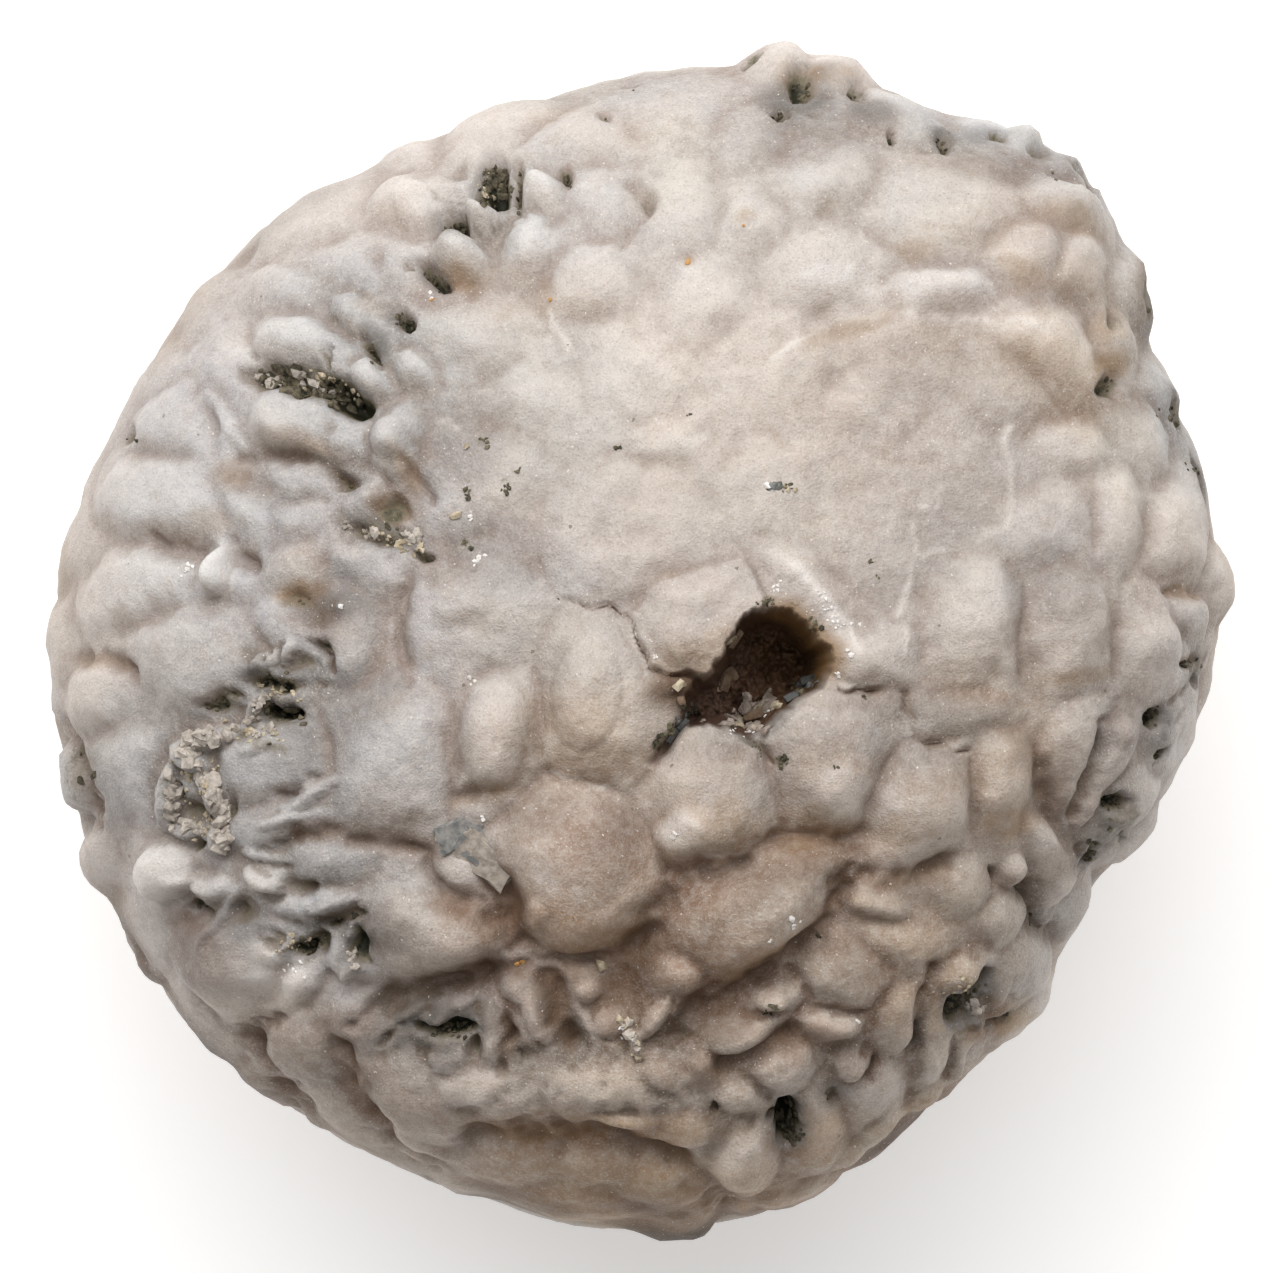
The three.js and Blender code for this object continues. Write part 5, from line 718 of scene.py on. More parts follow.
            (4.4, 5.15, 0.2, 0.15, 0, 4, 0.12, 0.22), (5.5, -1.3, 0.4, 0.15, 20, 7, 0.08, 0.16),
            (-5.8, -6.3, 0.4, 0.35, 30, 8, 0.12, 0.26), (1.2, -2.6, 0.4, 0.15, 50, 7, 0.07, 0.14),
        ]},
}

surface = {
    "relief": 1.25,                          # how much the plates' rises are exaggerated
    "warp": 0.22, "warpScale": 0.55,         # how far and how often the plates' outlines wander
    "raggedness": 0.2, "raggedScale": 1.6,   # the same for the edges of pits and cracks
    "edgeWander": 0.35,                      # the share of it that the lip and the opening take
    "seamWidth": 0.15, "seamDepth": 0.06,    # the thin line where two swollen plates meet
    "veinRise": 0.04,
    "girth": 0.36,                           # the plates stand a little further out round the widest level
    "crumble": 0.22, "crumbleScale": 2.0,    # extra roughness in and round the pits
    "corrosion": 0.17, "corrosionScale": 1.2,
    "facets": 0.10, "facetScale": 0.75,      # shallow cells like cleavage faces
    # unevenness from broad to fine: height, scale, octaves, and where in the noise it is read
    "lumps": (0.10, 0.5, 2, 0.0),
    "dents": (0.05, 1.1, 3, 5.0),
    "wear": (0.02, 2.0, 3, 3.0),
}


def outlineRadius(angle):
    # a smooth closed curve through the outline's radii
    values = np.array(form["outline"])
    n = len(values)
    at = (angle / (2 * np.pi) * n) % n
    i = np.floor(at).astype(int)
    t = at - i
    a, b, c, d = (values[(i + k) % n] for k in (-1, 0, 1, 2))
    return b + 0.5 * t * (c - a + t * (2 * a - 5 * b + 4 * c - d + t * (3 * (b - c) + d - a)))


def leanAt(z):
    share = (np.maximum(z, 0) / form["domeHeight"]) ** 2
    return np.stack([form["apex"][0] * share, form["apex"][1] * share, 0 * share], -1)


def sideOf(z):
    # the height and the roundness of the dome above the widest level, and of the cup below it
    height = np.where(z >= 0, form["domeHeight"], form["cupDepth"])
    return height, np.where(z >= 0, form["domePower"], form["cupPower"])


def formPoints(directions):
    height, power = sideOf(directions[:, 2])
    radius = outlineRadius(np.arctan2(directions[:, 1], directions[:, 0]))
    across = np.hypot(directions[:, 0], directions[:, 1]) / radius
    reach = (across ** power + (np.abs(directions[:, 2]) / height) ** power) ** (-1 / power)
    points = directions * reach[:, None]
    return points + leanAt(points[:, 2])


def formNormals(points):
    height, power = sideOf(points[:, 2])
    upright = points - leanAt(points[:, 2])
    radius = outlineRadius(np.arctan2(upright[:, 1], upright[:, 0]))
    plan = np.maximum(np.hypot(upright[:, 0], upright[:, 1]), 1e-6)
    out = (plan / radius) ** (power - 1) / radius
    up = np.sign(points[:, 2]) * (np.abs(points[:, 2]) / height) ** (power - 1) / height
    normals = np.stack([upright[:, 0] / plan * out, upright[:, 1] / plan * out, up], -1)
    return normals / np.linalg.norm(normals, axis=1, keepdims=True)


def domePoints(plan):
    # the points of the dome above places in the plan; a place outside the outline moves in to the rim
    rim, settlingSteps = 0.995, 12
    flat = np.column_stack([plan, np.zeros(len(plan))])
    points = flat.copy()
    for step in range(settlingSteps):
        upright = flat - leanAt(points[:, 2])
        radius = outlineRadius(np.arctan2(upright[:, 1], upright[:, 0]))
        share = np.hypot(upright[:, 0], upright[:, 1]) / radius
        upright *= np.minimum(1, rim / np.maximum(share, 1e-6))[:, None]
        power = form["domePower"]
        z = form["domeHeight"] * (1 - np.minimum(share, rim) ** power) ** (1 / power)
        points = upright + leanAt(z)
        points[:, 2] = z
    return points


# A patch is a place on the form with its own length, width and turn.
def patchesAt(centres, halfLength, halfWidth, turn, seenFromAbove):
    # for each patch, the matrix that takes an offset from its middle to shares of its size
    steepest = 0.6                      # how much a patch on the flank may stretch down it
    outs = formNormals(centres)
    plan = np.maximum(np.hypot(outs[:, 0], outs[:, 1]), 1e-6)[:, None]
    away = np.column_stack([outs[:, :2] / plan, np.zeros(len(outs))])
    around = np.column_stack([-away[:, 1], away[:, 0], np.zeros(len(outs))])
    down = np.cross(around, outs)
    tilt = np.maximum(outs[:, 2], steepest)[:, None] if seenFromAbove else 1.0
    rows = []
    for extra, size in ((0, halfLength), (90, halfWidth)):
        angle = np.radians(turn + extra)
        heading = np.column_stack([np.cos(angle), np.sin(angle), 0 * angle])
        alongDown = np.sum(heading * away, 1, keepdims=True) * tilt
        alongRound = np.sum(heading * around, 1, keepdims=True)
        rows.append((down * alongDown + around * alongRound) / size[:, None])
    rows.append(outs / np.sqrt(halfLength * halfWidth)[:, None])
    return centres, np.stack(rows, 1)


def domePatches(table):
    table = np.array([row[:5] for row in table], float)
    return patchesAt(domePoints(table[:, :2]), table[:, 2], table[:, 3], table[:, 4], True)


def sharesOf(points, patches):
    # how far each point is from each patch's middle, as a share of the patch's size
    centres, matrices = patches
    turned = points @ matrices.reshape(-1, 3).T - np.einsum("pij,pj->pi", matrices, centres).reshape(-1)
    return np.linalg.norm(turned.reshape(len(points), -1, 3), axis=2)


def cupPlates():
    # the rings of the cup, each plate a little out of its even place
    directions, sizes, rises = [], [], []
    for count, up, halfSize, rise, turn in cupRings:
        for i in range(count):
            angle = math.radians(turn + 360 * (i + 0.22 * math.sin(7.1 * i + count)) / count)
            tilt = math.radians(up + 2.5 * math.sin(4.7 * i + count))
            low = -math.cos(tilt) * form["cupDepth"] / form["outline"][0]
            directions.append((math.sin(tilt) * math.cos(angle), math.sin(tilt) * math.sin(angle), low))
            sizes.append(halfSize)
            rises.append(rise)
    sizes = np.array(sizes)
    return patchesAt(formPoints(np.array(directions)), sizes, 0.95 * sizes, 0 * sizes, False), sizes, rises


def smoothStep(low, high, value):
    t = np.clip((value - low) / (high - low), 0, 1)
    return t * t * (3 - 2 * t)


def noiseField(points, scale, octaves, offset):
    shift = Vector((offset, 2 * offset, -offset))
    return np.array([noise.fractal(Vector(p) * scale + shift, 0.8, 2.1, octaves) for p in points])


def cellField(points, scale):
    # the distance to the nearest of a set of scattered points, less its usual value
    usual = 0.45
    return np.array([noise.voronoi(Vector(p) * scale)[0][0] for p in points]) - usual


def ridgedField(points, scale):
    # sharp ridges about a middle of nothing
    middle = 1.1
    ridges = [noise.ridged_multi_fractal(Vector(p) * scale, 1.0, 2.1, 3, 0.9, 1.8) for p in points]
    return np.array(ridges) - middle


def vectorNoise(points, scale):
    return np.array([noise.noise_vector(Vector(p) * scale) for p in points])


def warped(points):
    scale = surface["warpScale"]
    return points + surface["warp"] * (vectorNoise(points, scale) + 0.4 * vectorNoise(points, 2.7 * scale))


def plateRelief(points, patches, sizes, rises):
    # each plate swells between the seams with its neighbours; returns the height, and where the seams
    # between swollen plates run
    height = np.zeros(len(points))
    seam = np.zeros(len(points))
    batch, neighbours, seamSoftness, fullness = 8000, 6, 0.1, 0.85
    for start in range(0, len(points), batch):
        shares = sharesOf(points[start:start + batch], patches)
        nearest = np.argpartition(shares, neighbours, axis=1)[:, :neighbours + 1]
        near = np.take_along_axis(shares, nearest, 1)
        order = np.argsort(near, axis=1)
        nearest = np.take_along_axis(nearest, order, 1)
        near = np.take_along_axis(near, order, 1)
        own = nearest[:, 0]
        shoulder = np.clip(0.8 * sizes[own], 0.3, 1.5)
        swell = np.ones(len(own))
        for k in range(1, neighbours + 1):
            toSeam = (near[:, k] - near[:, 0]) / (1 / sizes[own] + 1 / sizes[nearest[:, k]])
            if k == 1:
                swollen = np.clip(np.minimum(rises[own], rises[nearest[:, 1]]) / 0.6, 0, 1) ** 2
                seam[start:start + batch] = swollen * np.exp(-(toSeam / surface["seamWidth"]) ** 2)
            toSeam = np.hypot(toSeam, seamSoftness) - seamSoftness
            swell *= 1 - (1 - np.clip(toSeam / shoulder, 0, 1)) ** 2
        swell = swell ** fullness
        crown = 0.75 + 0.25 * np.clip(1 - near[:, 0] ** 2, 0, 1)
        height[start:start + batch] = surface["relief"] * rises[own] * swell * crown
    return height, seam


def allPlates(wander):
    cupPatches, cupSizes, cupRises = cupPlates()
    centres, matrices = domePatches(domePlates)
    table = np.array(domePlates)
    patches = (np.vstack([centres, cupPatches[0]]), np.concatenate([matrices, cupPatches[1]]))
    sizes = np.concatenate([np.sqrt(table[:, 2] * table[:, 3]), cupSizes])
    rises = np.concatenate([table[:, 5], cupRises])
    height, seam = plateRelief(wander, patches, sizes, rises)
    return height - surface["seamDepth"] * seam, seam


def bumpSum(points, table, profile):
    shares = sharesOf(points, domePatches(table))
    return profile(shares, *np.array([row[5:] for row in table], float).T)


def swellProfile(shares, rise):
    return np.sum(rise * np.exp(-shares ** 2), 1)


def knobProfile(shares, rise, soft):
    rounded = (1.1 - 0.1 * shares ** 2).clip(0)
    return np.sum(rise * (1 - smoothStep(1 - soft, 1 + soft, shares)) * rounded, 1)


def beadProfile(shares, rise):
    return np.max(rise * np.clip(1 - shares ** 2, 0, 1) ** 0.6, 1)


def fading(solid, gone, most=np.inf):
    # a profile that is full out to the share called solid, and nothing past the share called gone
    def profile(shares, strength):
        return np.max(np.minimum(strength, most) * (1 - smoothStep(solid, gone, shares)), 1)
    return profile


stainProfile, pitProfile, apronProfile = fading(0.5, 1.4), fading(0.3, 1.7), fading(0.9, 2.6, 1.0)


def lineDistance(plan, line):
    nearest = np.full(len(plan), np.inf)
    for a, b in zip(line, line[1:]):
        a, b = np.array(a), np.array(b)
        t = np.clip((plan - a) @ (b - a) / np.sum((b - a) ** 2), 0, 1)
        nearest = np.minimum(nearest, np.linalg.norm(plan - a - t[:, None] * (b - a), axis=1))
    return nearest


def nearLine(plan, line, width):
    return np.exp(-(lineDistance(plan, line) / width) ** 2)


def depthInside(plan, edge):
    # distance to the outline, positive inside it
    inside = np.zeros(len(plan), bool)
    for (ax, ay), (bx, by) in zip(edge, edge[1:] + edge[:1]):
        crosses = (ay > plan[:, 1]) != (by > plan[:, 1])
        inside ^= crosses & (plan[:, 0] < (bx - ax) * (plan[:, 1] - ay) / (by - ay + 1e-12) + ax)
    distance = lineDistance(plan, edge + edge[:1])
    return np.where(inside, distance, -distance)


def lipHeight(plan):
    inside = depthInside(plan, lipPlate["edge"])
    flatTop = smoothStep(-lipPlate["softness"], lipPlate["softness"], inside)
    flatTop *= 1 + lipPlate["roundedBy"] * (np.clip(inside / lipPlate["rounding"], 0, 1) - 1)
    return lipPlate["rise"] * flatTop


def cracksAndVeins(plan, uneven):
    # how deep the grooves are, how dirty they are, and where the pale sutures run
    groove, crease, vein = np.zeros((3, len(plan)))
    for width, depth, dirt, line in creases:
        cut = uneven * nearLine(plan, line, width)
        groove = np.maximum(groove, depth * cut)
        crease = np.maximum(crease, dirt * cut)
    for width, line in veins:
        vein = np.maximum(vein, uneven * nearLine(plan, line, width))
    return groove, crease, vein


def openingCut(points, plan):
    # how deep the anal opening is cut, how far inside its edge each point lies, and the floor's slant
    frayed = plan + 0.5 * surface["raggedness"] * vectorNoise(points, 2.4 * surface["raggedScale"])[:, :2]
    mouth = depthInside(frayed, opening["edge"])
    slant = opening["slant"] * (plan[:, 0] - opening["slantFrom"])
    inner = opening["depth"] - opening["lipDrop"]
    inner = inner + np.clip(slant, -opening["mostSlant"], opening["mostSlant"])
    lip = opening["lipDrop"] * smoothStep(-0.03, opening["lipSlope"], mouth)
    return lip + inner * smoothStep(0, opening["slope"], mouth), mouth, slant


def unevenness(points):
    # lumps, dents and wear, over shallow cells like cleavage faces
    height = surface["girth"] * (1 - np.abs(formNormals(points)[:, 2]))
    height += surface["facets"] * cellField(points, surface["facetScale"])
    for rise, scale, octaves, offset in (surface[name] for name in ("lumps", "dents", "wear")):
        height += rise * noiseField(points, scale, octaves, offset)
    return height


def crumbling(points, pit, apron, inOpening):
    # extra roughness in the pits, round them and most of all inside the opening
    most = 2.5
    share = np.clip(smoothStep(0.02, 0.4, pit) + 0.5 * apron + most * inOpening, 0, most)
    return surface["crumble"] * share * noiseField(points, surface["crumbleScale"], 4, 7.0)


def corrosion(points, broken):
    height = np.zeros(len(points))
    where = np.flatnonzero(broken > 0.01)
    ridges = ridgedField(points[where], surface["corrosionScale"])
    height[where] = surface["corrosion"] * broken[where] * ridges
    return height


def stainMasks(wander, ragged):
    # where the stains lie, and the dust round the heaps of silt
    masks = {name: bumpSum(wander, table, stainProfile).clip(0, 1) for name, table in stains.items()}
    heaps = [row[:5] + (1.0,) for row in crumbs["darkSilt"]["heaps"] + crumbs["pitSilt"]["heaps"]]
    masks["dust"] = bumpSum(ragged, heaps, stainProfile).clip(0, 1)
    return masks


def openingMasks(plan, mouth, slant, onDome):
    # the far wall is amber, where light comes through the edge
    amber = smoothStep(0, 0.5, slant) * smoothStep(-1.5, -0.8, plan[:, 1]) * onDome
    return {
        "mouth": smoothStep(-0.04, 0.42, mouth) * onDome,
        "shelf": smoothStep(-0.5, 0.5, -slant),
        "amber": amber,
        "halo": smoothStep(-0.7, 0.1, mouth) * amber,
    }


def stoneRelief(points):
    # the height over the bare form, and the masks that the material reads
    onDome = points[:, 2] > 0
    wander = warped(points)
    ragged = wander + surface["raggedness"] * vectorNoise(points, surface["raggedScale"])
    plan = points[:, :2] + surface["edgeWander"] * (ragged[:, :2] - points[:, :2])

    height, seam = allPlates(wander)
    height += bumpSum(points, swells, swellProfile)
    height += bumpSum(wander, knobs, knobProfile)
    height += bumpSum(points + 0.5 * (wander - points), beads, beadProfile) * onDome
    height += lipHeight(plan) * onDome
    rim = nearLine(plan, brightRim["line"], brightRim["width"]) * onDome
    height += brightRim["rise"] * rim
    groove, crease, vein = cracksAndVeins(ragged[:, :2], (0.75 + noiseField(points, 0.9, 2, 11.0)) * onDome)
    height -= groove
    height += surface["veinRise"] * vein

    pit = bumpSum(ragged, pits, pitProfile) * onDome
    apron = bumpSum(ragged, pits, apronProfile) * onDome
    cut, mouth, slant = openingCut(points, plan)
    height -= pit + cut * onDome
    height += unevenness(points)
    height += crumbling(points, pit, apron, smoothStep(0.1, 0.6, mouth) * onDome)
    outsideOpening = onDome * (1 - smoothStep(-0.3, 0.0, mouth))
    broken = bumpSum(wander, corroded, stainProfile).clip(0, 1) * outsideOpening
    height += corrosion(points, broken)

    masks = stainMasks(wander, ragged) | openingMasks(plan, mouth, slant, onDome)
    masks |= {
        "seam": seam,
        "broken": broken,
        "crease": np.clip(crease, 0, 1),
        "pit": np.clip(pit / 0.8, 0, 1),
        "apron": np.clip(apron, 0, 1),
        "vein": np.clip(vein + 0.6 * rim, 0, 1),
    }
    return height, masks


def wornUnderside(points):
    # the base is worn flat, with the stem's scar sunk into it
    floorLevel = form["wornBase"] - form["cupDepth"]
    plan = np.hypot(points[:, 0], points[:, 1])
    scar = 1 - smoothStep(form["scarFloor"], form["scarRadius"], plan)
    lumen = 1 - smoothStep(form["lumenFloor"], form["lumenRadius"], plan)
    level = floorLevel + form["scarDepth"] * scar + (form["lumenDepth"] - form["scarDepth"]) * lumen
    points[:, 2] = np.maximum(points[:, 2], np.where(points[:, 2] < 0, level, points[:, 2]))
    return points - np.array([0, 0, floorLevel])


def refine(mesh, edges):
    bmesh.ops.subdivide_edges(mesh, edges=edges, cuts=1, use_grid_fill=True)
    bmesh.ops.triangulate(mesh, faces=[f for f in mesh.faces if len(f.verts) > 3])
    for vertex in mesh.verts:
        vertex.co.normalize()


def stoneMesh():
    # a sphere with finer triangles above the rim, and the finest round the anal opening
    mesh = bmesh.new()
    bmesh.ops.create_icosphere(mesh, subdivisions=form["baseLevel"], radius=1.0)
    refine(mesh, [e for e in mesh.edges if min(v.co.z for v in e.verts) > form["fineFrom"]])
    middle = domePoints(np.array([form["finestAt"]]))[0]
    towards = Vector(middle - leanAt(middle[2])).normalized()
    within = math.cos(form["finestRadius"] / np.linalg.norm(middle))
    refine(mesh, [e for e in mesh.edges if min(v.co.dot(towards) for v in e.verts) > within])
    return mesh


def smoothedOver(mesh, values, rounds):
    # the values averaged over the mesh's edges, round after round
    ends = np.empty(len(mesh.edges) * 2, np.int32)
    mesh.edges.foreach_get("vertices", ends)
    a, b = ends[0::2], ends[1::2]
    count = np.bincount(ends, minlength=len(values))
    for i in range(rounds):
        near = np.bincount(a, values[b], len(values)) + np.bincount(b, values[a], len(values))
        values = 0.5 * (values + near / count)
    return values


def vertexVectors(mesh, what):
    vectors = np.empty(len(mesh.vertices) * 3, np.float32)
    mesh.vertices.foreach_get(what, vectors)
    return vectors.reshape(-1, 3)


def writeMask(mesh, name, values):
    layer = mesh.attributes.new(name, "FLOAT", "POINT")
    layer.data.foreach_set("value", values.astype(np.float32))


def buildStone():
    grown = stoneMesh()
    mesh = bpy.data.meshes.new("fossilCalyx")
    grown.to_mesh(mesh)
    grown.free()
    directions = vertexVectors(mesh, "co").astype(float)
    directions /= np.linalg.norm(directions, axis=1, keepdims=True)
    bare = formPoints(directions)
    height, masks = stoneRelief(bare)
    points = wornUnderside(bare + height[:, None] * formNormals(bare))

    # hollows, crowns and nooks come from how the height differs from its own averages; the material paints
    # shade into the hollows and nooks and light onto the crowns
    close = smoothedOver(mesh, height, 12)
    wide = smoothedOver(mesh, close, 90)
    masks["hollow"] = np.clip(0.2 + (wide - close) / 0.35, 0, 1)
    masks["crown"] = np.clip((close - wide) / 0.35, 0, 1)
    masks["nook"] = np.clip((close - height) / 0.08, 0, 1)
    middle = (points.min(0) + points.max(0)) / 2
    shift = np.array([middle[0], middle[1], 0])
    mesh.vertices.foreach_set("co", ((points - shift) * mm).astype(np.float32).ravel())
    for name, values in masks.items():
        writeMask(mesh, name, values)
    mesh.polygons.foreach_set("use_smooth", [True] * len(mesh.polygons))
    mesh.update()
    # slopes that face away from the window, for painted shade on the side of each bulge away from the light
    facing = smoothedOver(mesh, formNormals(bare)[:, 1] - vertexVectors(mesh, "normal")[:, 1], 3)
    writeMask(mesh, "shadedSide", smoothStep(0.1, 0.75, facing))
    stone = bpy.data.objects.new("fossilCalyx", mesh)
    bpy.context.scene.collection.objects.link(stone)
    print("stone:", len(mesh.polygons), "triangles, shifted by", shift.round(3))
    return stone, shift


stone, formShift = buildStone()
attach(stone, "root")
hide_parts("calyx")


class NodeBench:
    # short ways to add and join shader nodes, and the colour built up so far
    def __init__(self, name):
        self.material = bpy.data.materials.new(name)
        self.material.use_nodes = True
        self.tree = self.material.node_tree
        self.shader = self.tree.nodes["Principled BSDF"]
        self.base = None
        self.at = None

    def add(self, kind, inputs=None, **settings):
        node = self.tree.nodes.new(kind)
        for key, value in settings.items():
            setattr(node, key, value)
        for key, value in (inputs or {}).items():
            self.feed(node.inputs[key], value)
        return node

    def feed(self, socket, value):
        if isinstance(value, bpy.types.NodeSocket):
            self.tree.links.new(value, socket)
        else:
            socket.default_value = value

    def shade(self, sockets):
        for name, value in sockets.items():
            self.feed(self.shader.inputs[name], value)

    def measureInMillimetres(self):
        # the patterns added from here on lie on the object in mm
        position = self.add("ShaderNodeTexCoord").outputs["Object"]
        scaled = self.add("ShaderNodeMapping", {"Vector": position, "Scale": (1 / mm,) * 3})
        self.at = scaled.outputs["Vector"]

    def mask(self, name):
        return self.add("ShaderNodeAttribute", attribute_name=name).outputs["Fac"]

    def ramp(self, value, low, high, start=0.0, end=1.0):
        ends = {"Value": value, "From Min": low, "From Max": high, "To Min": start, "To Max": end}
        return self.add("ShaderNodeMapRange", ends, interpolation_type="SMOOTHSTEP").outputs["Result"]

    def math(self, operation, a, b):
        return self.add("ShaderNodeMath", {0: a, 1: b}, operation=operation).outputs["Value"]

    def vectorMath(self, operation, a, b):
        return self.add("ShaderNodeVectorMath", {0: a, 1: b}, operation=operation).outputs["Vector"]

    def share(self, value, amount):
        return self.math("MULTIPLY", value, amount)

    def frayed(self, value, pattern, amount):
        # the value with its edge broken up by a pattern
        return self.math("ADD", value, self.share(self.math("SUBTRACT", pattern, 0.5), amount))

    def mix(self, factor, a, b, blend="MIX"):
        node = self.add("ShaderNodeMix", data_type="RGBA", blend_type=blend)
        for socket, value in (("Factor", factor), (6, a), (7, b)):
            self.feed(node.inputs[socket], value)
        return node.outputs[2]

    def cover(self, factor, tint, blend="MIX"):
        # lays a tint over the colour so far
        self.base = self.mix(factor, self.base, tint, blend)

    def noise(self, scale, detail, rough=0.55):
        settings = {"Vector": self.at, "Scale": scale, "Detail": detail, "Roughness": rough}
        return self.add("ShaderNodeTexNoise", settings).outputs["Fac"]


calciteLook = {
    # clean stone; pale and white also serve as painted light, dusky and shade as painted shade
    "white": colour(222, 216, 212), "bright": colour(226, 218, 210), "pale": colour(209, 197, 187),
    "cream": colour(194, 182, 170), "lilac": colour(180, 172, 167), "ash": colour(178, 174, 175),
    "grey": colour(162, 156, 153), "tan": colour(159, 139, 122), "taupe": colour(146, 131, 122),
    "dusky": colour(140, 119, 106), "shade": colour(146, 120, 96),
    # rust, dirt and silt; brown and mire also serve as painted shade
    "rust": colour(146, 117, 82), "brown": colour(112, 85, 63), "umber": colour(76, 55, 38),
    "mireAndShade": colour(92, 64, 45), "soil": colour(100, 95, 86), "murk": colour(58, 53, 45),
    "silt": colour(112, 103, 84), "olive": colour(44, 44, 32),
    # the anal opening's floor, the near part of it, and its lit edge
    "dark": colour(100, 76, 58), "wall": colour(94, 74, 64), "ochre": colour(128, 98, 62),
    # tints that multiply the colour under them; dim is partly painted shade
    "blush": colour(245, 229, 202), "chill": colour(241, 249, 255), "rose": colour(249, 239, 232),
    "dim": colour(178, 172, 167),
    # patterns from coarse to fine: how often, detail, roughness
    "grain": {"clouds": (0.2, 3.0, 0.55), "blotches": (0.9, 5.0, 0.6), "mottle": (3.0, 4.0, 0.65),
              "sugar": (13.0, 2.0, 0.6)},
    # scattered crystal faces, partly pale grains and partly painted glints, and dark grains: how often, size
    # of the largest, tint
    "crystals": ((3.5, 0.12, "bright"), (6.0, 0.15, "bright"), (0.9, 0.07, "silt")), "crystalWobble": 0.12,
    "translucency": 0.12, "glow": (1.0, 0.7, 0.5), "glowDepth": 1.0,
    "gloss": 0.3, "roughest": 0.65, "smoothest": 0.5, "bumpiness": 0.5, "bumpHeight": 0.07,
}


def patchy(bench, name, pattern):
    # a stain's mask, uneven like the pattern
    return bench.math("MULTIPLY", bench.mask(name), bench.ramp(pattern, 0.3, 0.6, 0.6, 1.0))


def layStone(bench, look, grain):
    # the clean stone with its broad stains, then painted shade darker in the hollows and on slopes away from
    # the light, and painted light paler on the crowns
    blotches = grain["blotches"]
    bench.base = bench.mix(bench.ramp(grain["clouds"], 0.38, 0.62), look["lilac"], look["cream"])
    # pale and white include painted light, dusky includes painted shadow
    for name in ("ash", "pale", "tan", "dusky", "grey", "white"):
        bench.cover(patchy(bench, name, blotches), look[name])
    bench.cover(bench.share(bench.ramp(blotches, 0.52, 0.7), 0.3), look["tan"])
    bench.cover(bench.share(bench.ramp(blotches, 0.5, 0.32), 0.3), look["lilac"])
    # painted shade in the hollows and on slopes facing away from the light, painted light on the crowns, and
    # the dark joints of the seams
    for name, amount, tint in (("hollow", 0.6, "taupe"), ("shadedSide", 0.5, "shade"),
                               ("seam", 0.35, "taupe"), ("crown", 0.35, "pale")):
        bench.cover(bench.share(bench.mask(name), amount), look[tint])


def layStains(bench, look, grain):
    # dirt and painted shade in the recesses, soft tints, the pale sutures, fine grain, then rust and murk
    recess = bench.math("MAXIMUM", bench.mask("hollow"), bench.mask("nook"))
    recess = bench.ramp(bench.frayed(recess, grain["blotches"], 0.8), 0.05, 0.7, 0.2, 0.9)
    for name, tint in (("mireAndShade", "mireAndShade"), ("broken", "soil")):
        bench.cover(bench.math("MULTIPLY", bench.mask(name), recess), look[tint])
    for name, tint in (("warm", "blush"), ("cool", "chill"), ("rosy", "rose")):
        bench.cover(bench.mask(name), look[tint], "MULTIPLY")
    bench.cover(bench.share(bench.mask("vein"), 0.6), look["bright"])
    for name, low, high, amount, tint in (("mottle", 0.35, 0.7, 0.22, "bright"),
                                          ("sugar", 0.5, 0.78, 0.35, "bright"),
                                          ("sugar", 0.46, 0.3, 0.25, "brown")):
        bench.cover(bench.share(bench.ramp(grain[name], low, high), amount), look[tint])
    # brown includes painted shadow under the ledge and the swollen plates
    for name in ("rust", "brown"):
        bench.cover(bench.share(patchy(bench, name, grain["blotches"]), 0.8), look[name])
    # partly painted shade: broad darkening where the light falls off
    bench.cover(bench.mask("dim"), look["dim"], "MULTIPLY")
    bench.cover(bench.share(patchy(bench, "murk", grain["mottle"]), 0.95), look["murk"])


def laySilt(bench, look, mottle):
    # silt lies round the pits and in the cracks, darker and greener further in
    def settle(name, fray, low, high, amount, tint):
        edge = bench.frayed(bench.mask(name), mottle, fray)
        bench.cover(bench.share(bench.ramp(edge, low, high), amount), look[tint])

    settle("apron", 1.6, 0.25, 0.95, 0.6, "grey")
    settle("crease", 1.4, 0.35, 1.0, 0.75, "umber")
    # painted shade: brown in the nooks of the relief
    bench.cover(bench.share(bench.mask("nook"), 0.35), look["brown"])
    settle("dust", 2.5, 0.4, 1.3, 0.6, "silt")
    settle("pit", 0.9, 0.15, 0.6, 1.0, "silt")
    settle("pit", 0.9, 0.45, 0.85, 1.0, "olive")


def layOpening(bench, look, mottle):
    # the matrix in the anal opening, and the far edge that light comes through
    mouth = bench.mask("mouth")
    matrix = bench.mix(bench.ramp(mottle, 0.35, 0.65), look["dark"], look["umber"])
    matrix = bench.mix(bench.share(bench.mask("shelf"), 0.7), matrix, look["wall"])
    edging = bench.mix(bench.mask("amber"), matrix, look["ochre"])
    bench.cover(bench.share(bench.mask("halo"), 0.85), look["ochre"])
    bench.cover(bench.ramp(mouth, 0.0, 0.35), edging)
    bench.cover(bench.ramp(mouth, 0.3, 1.0), matrix)


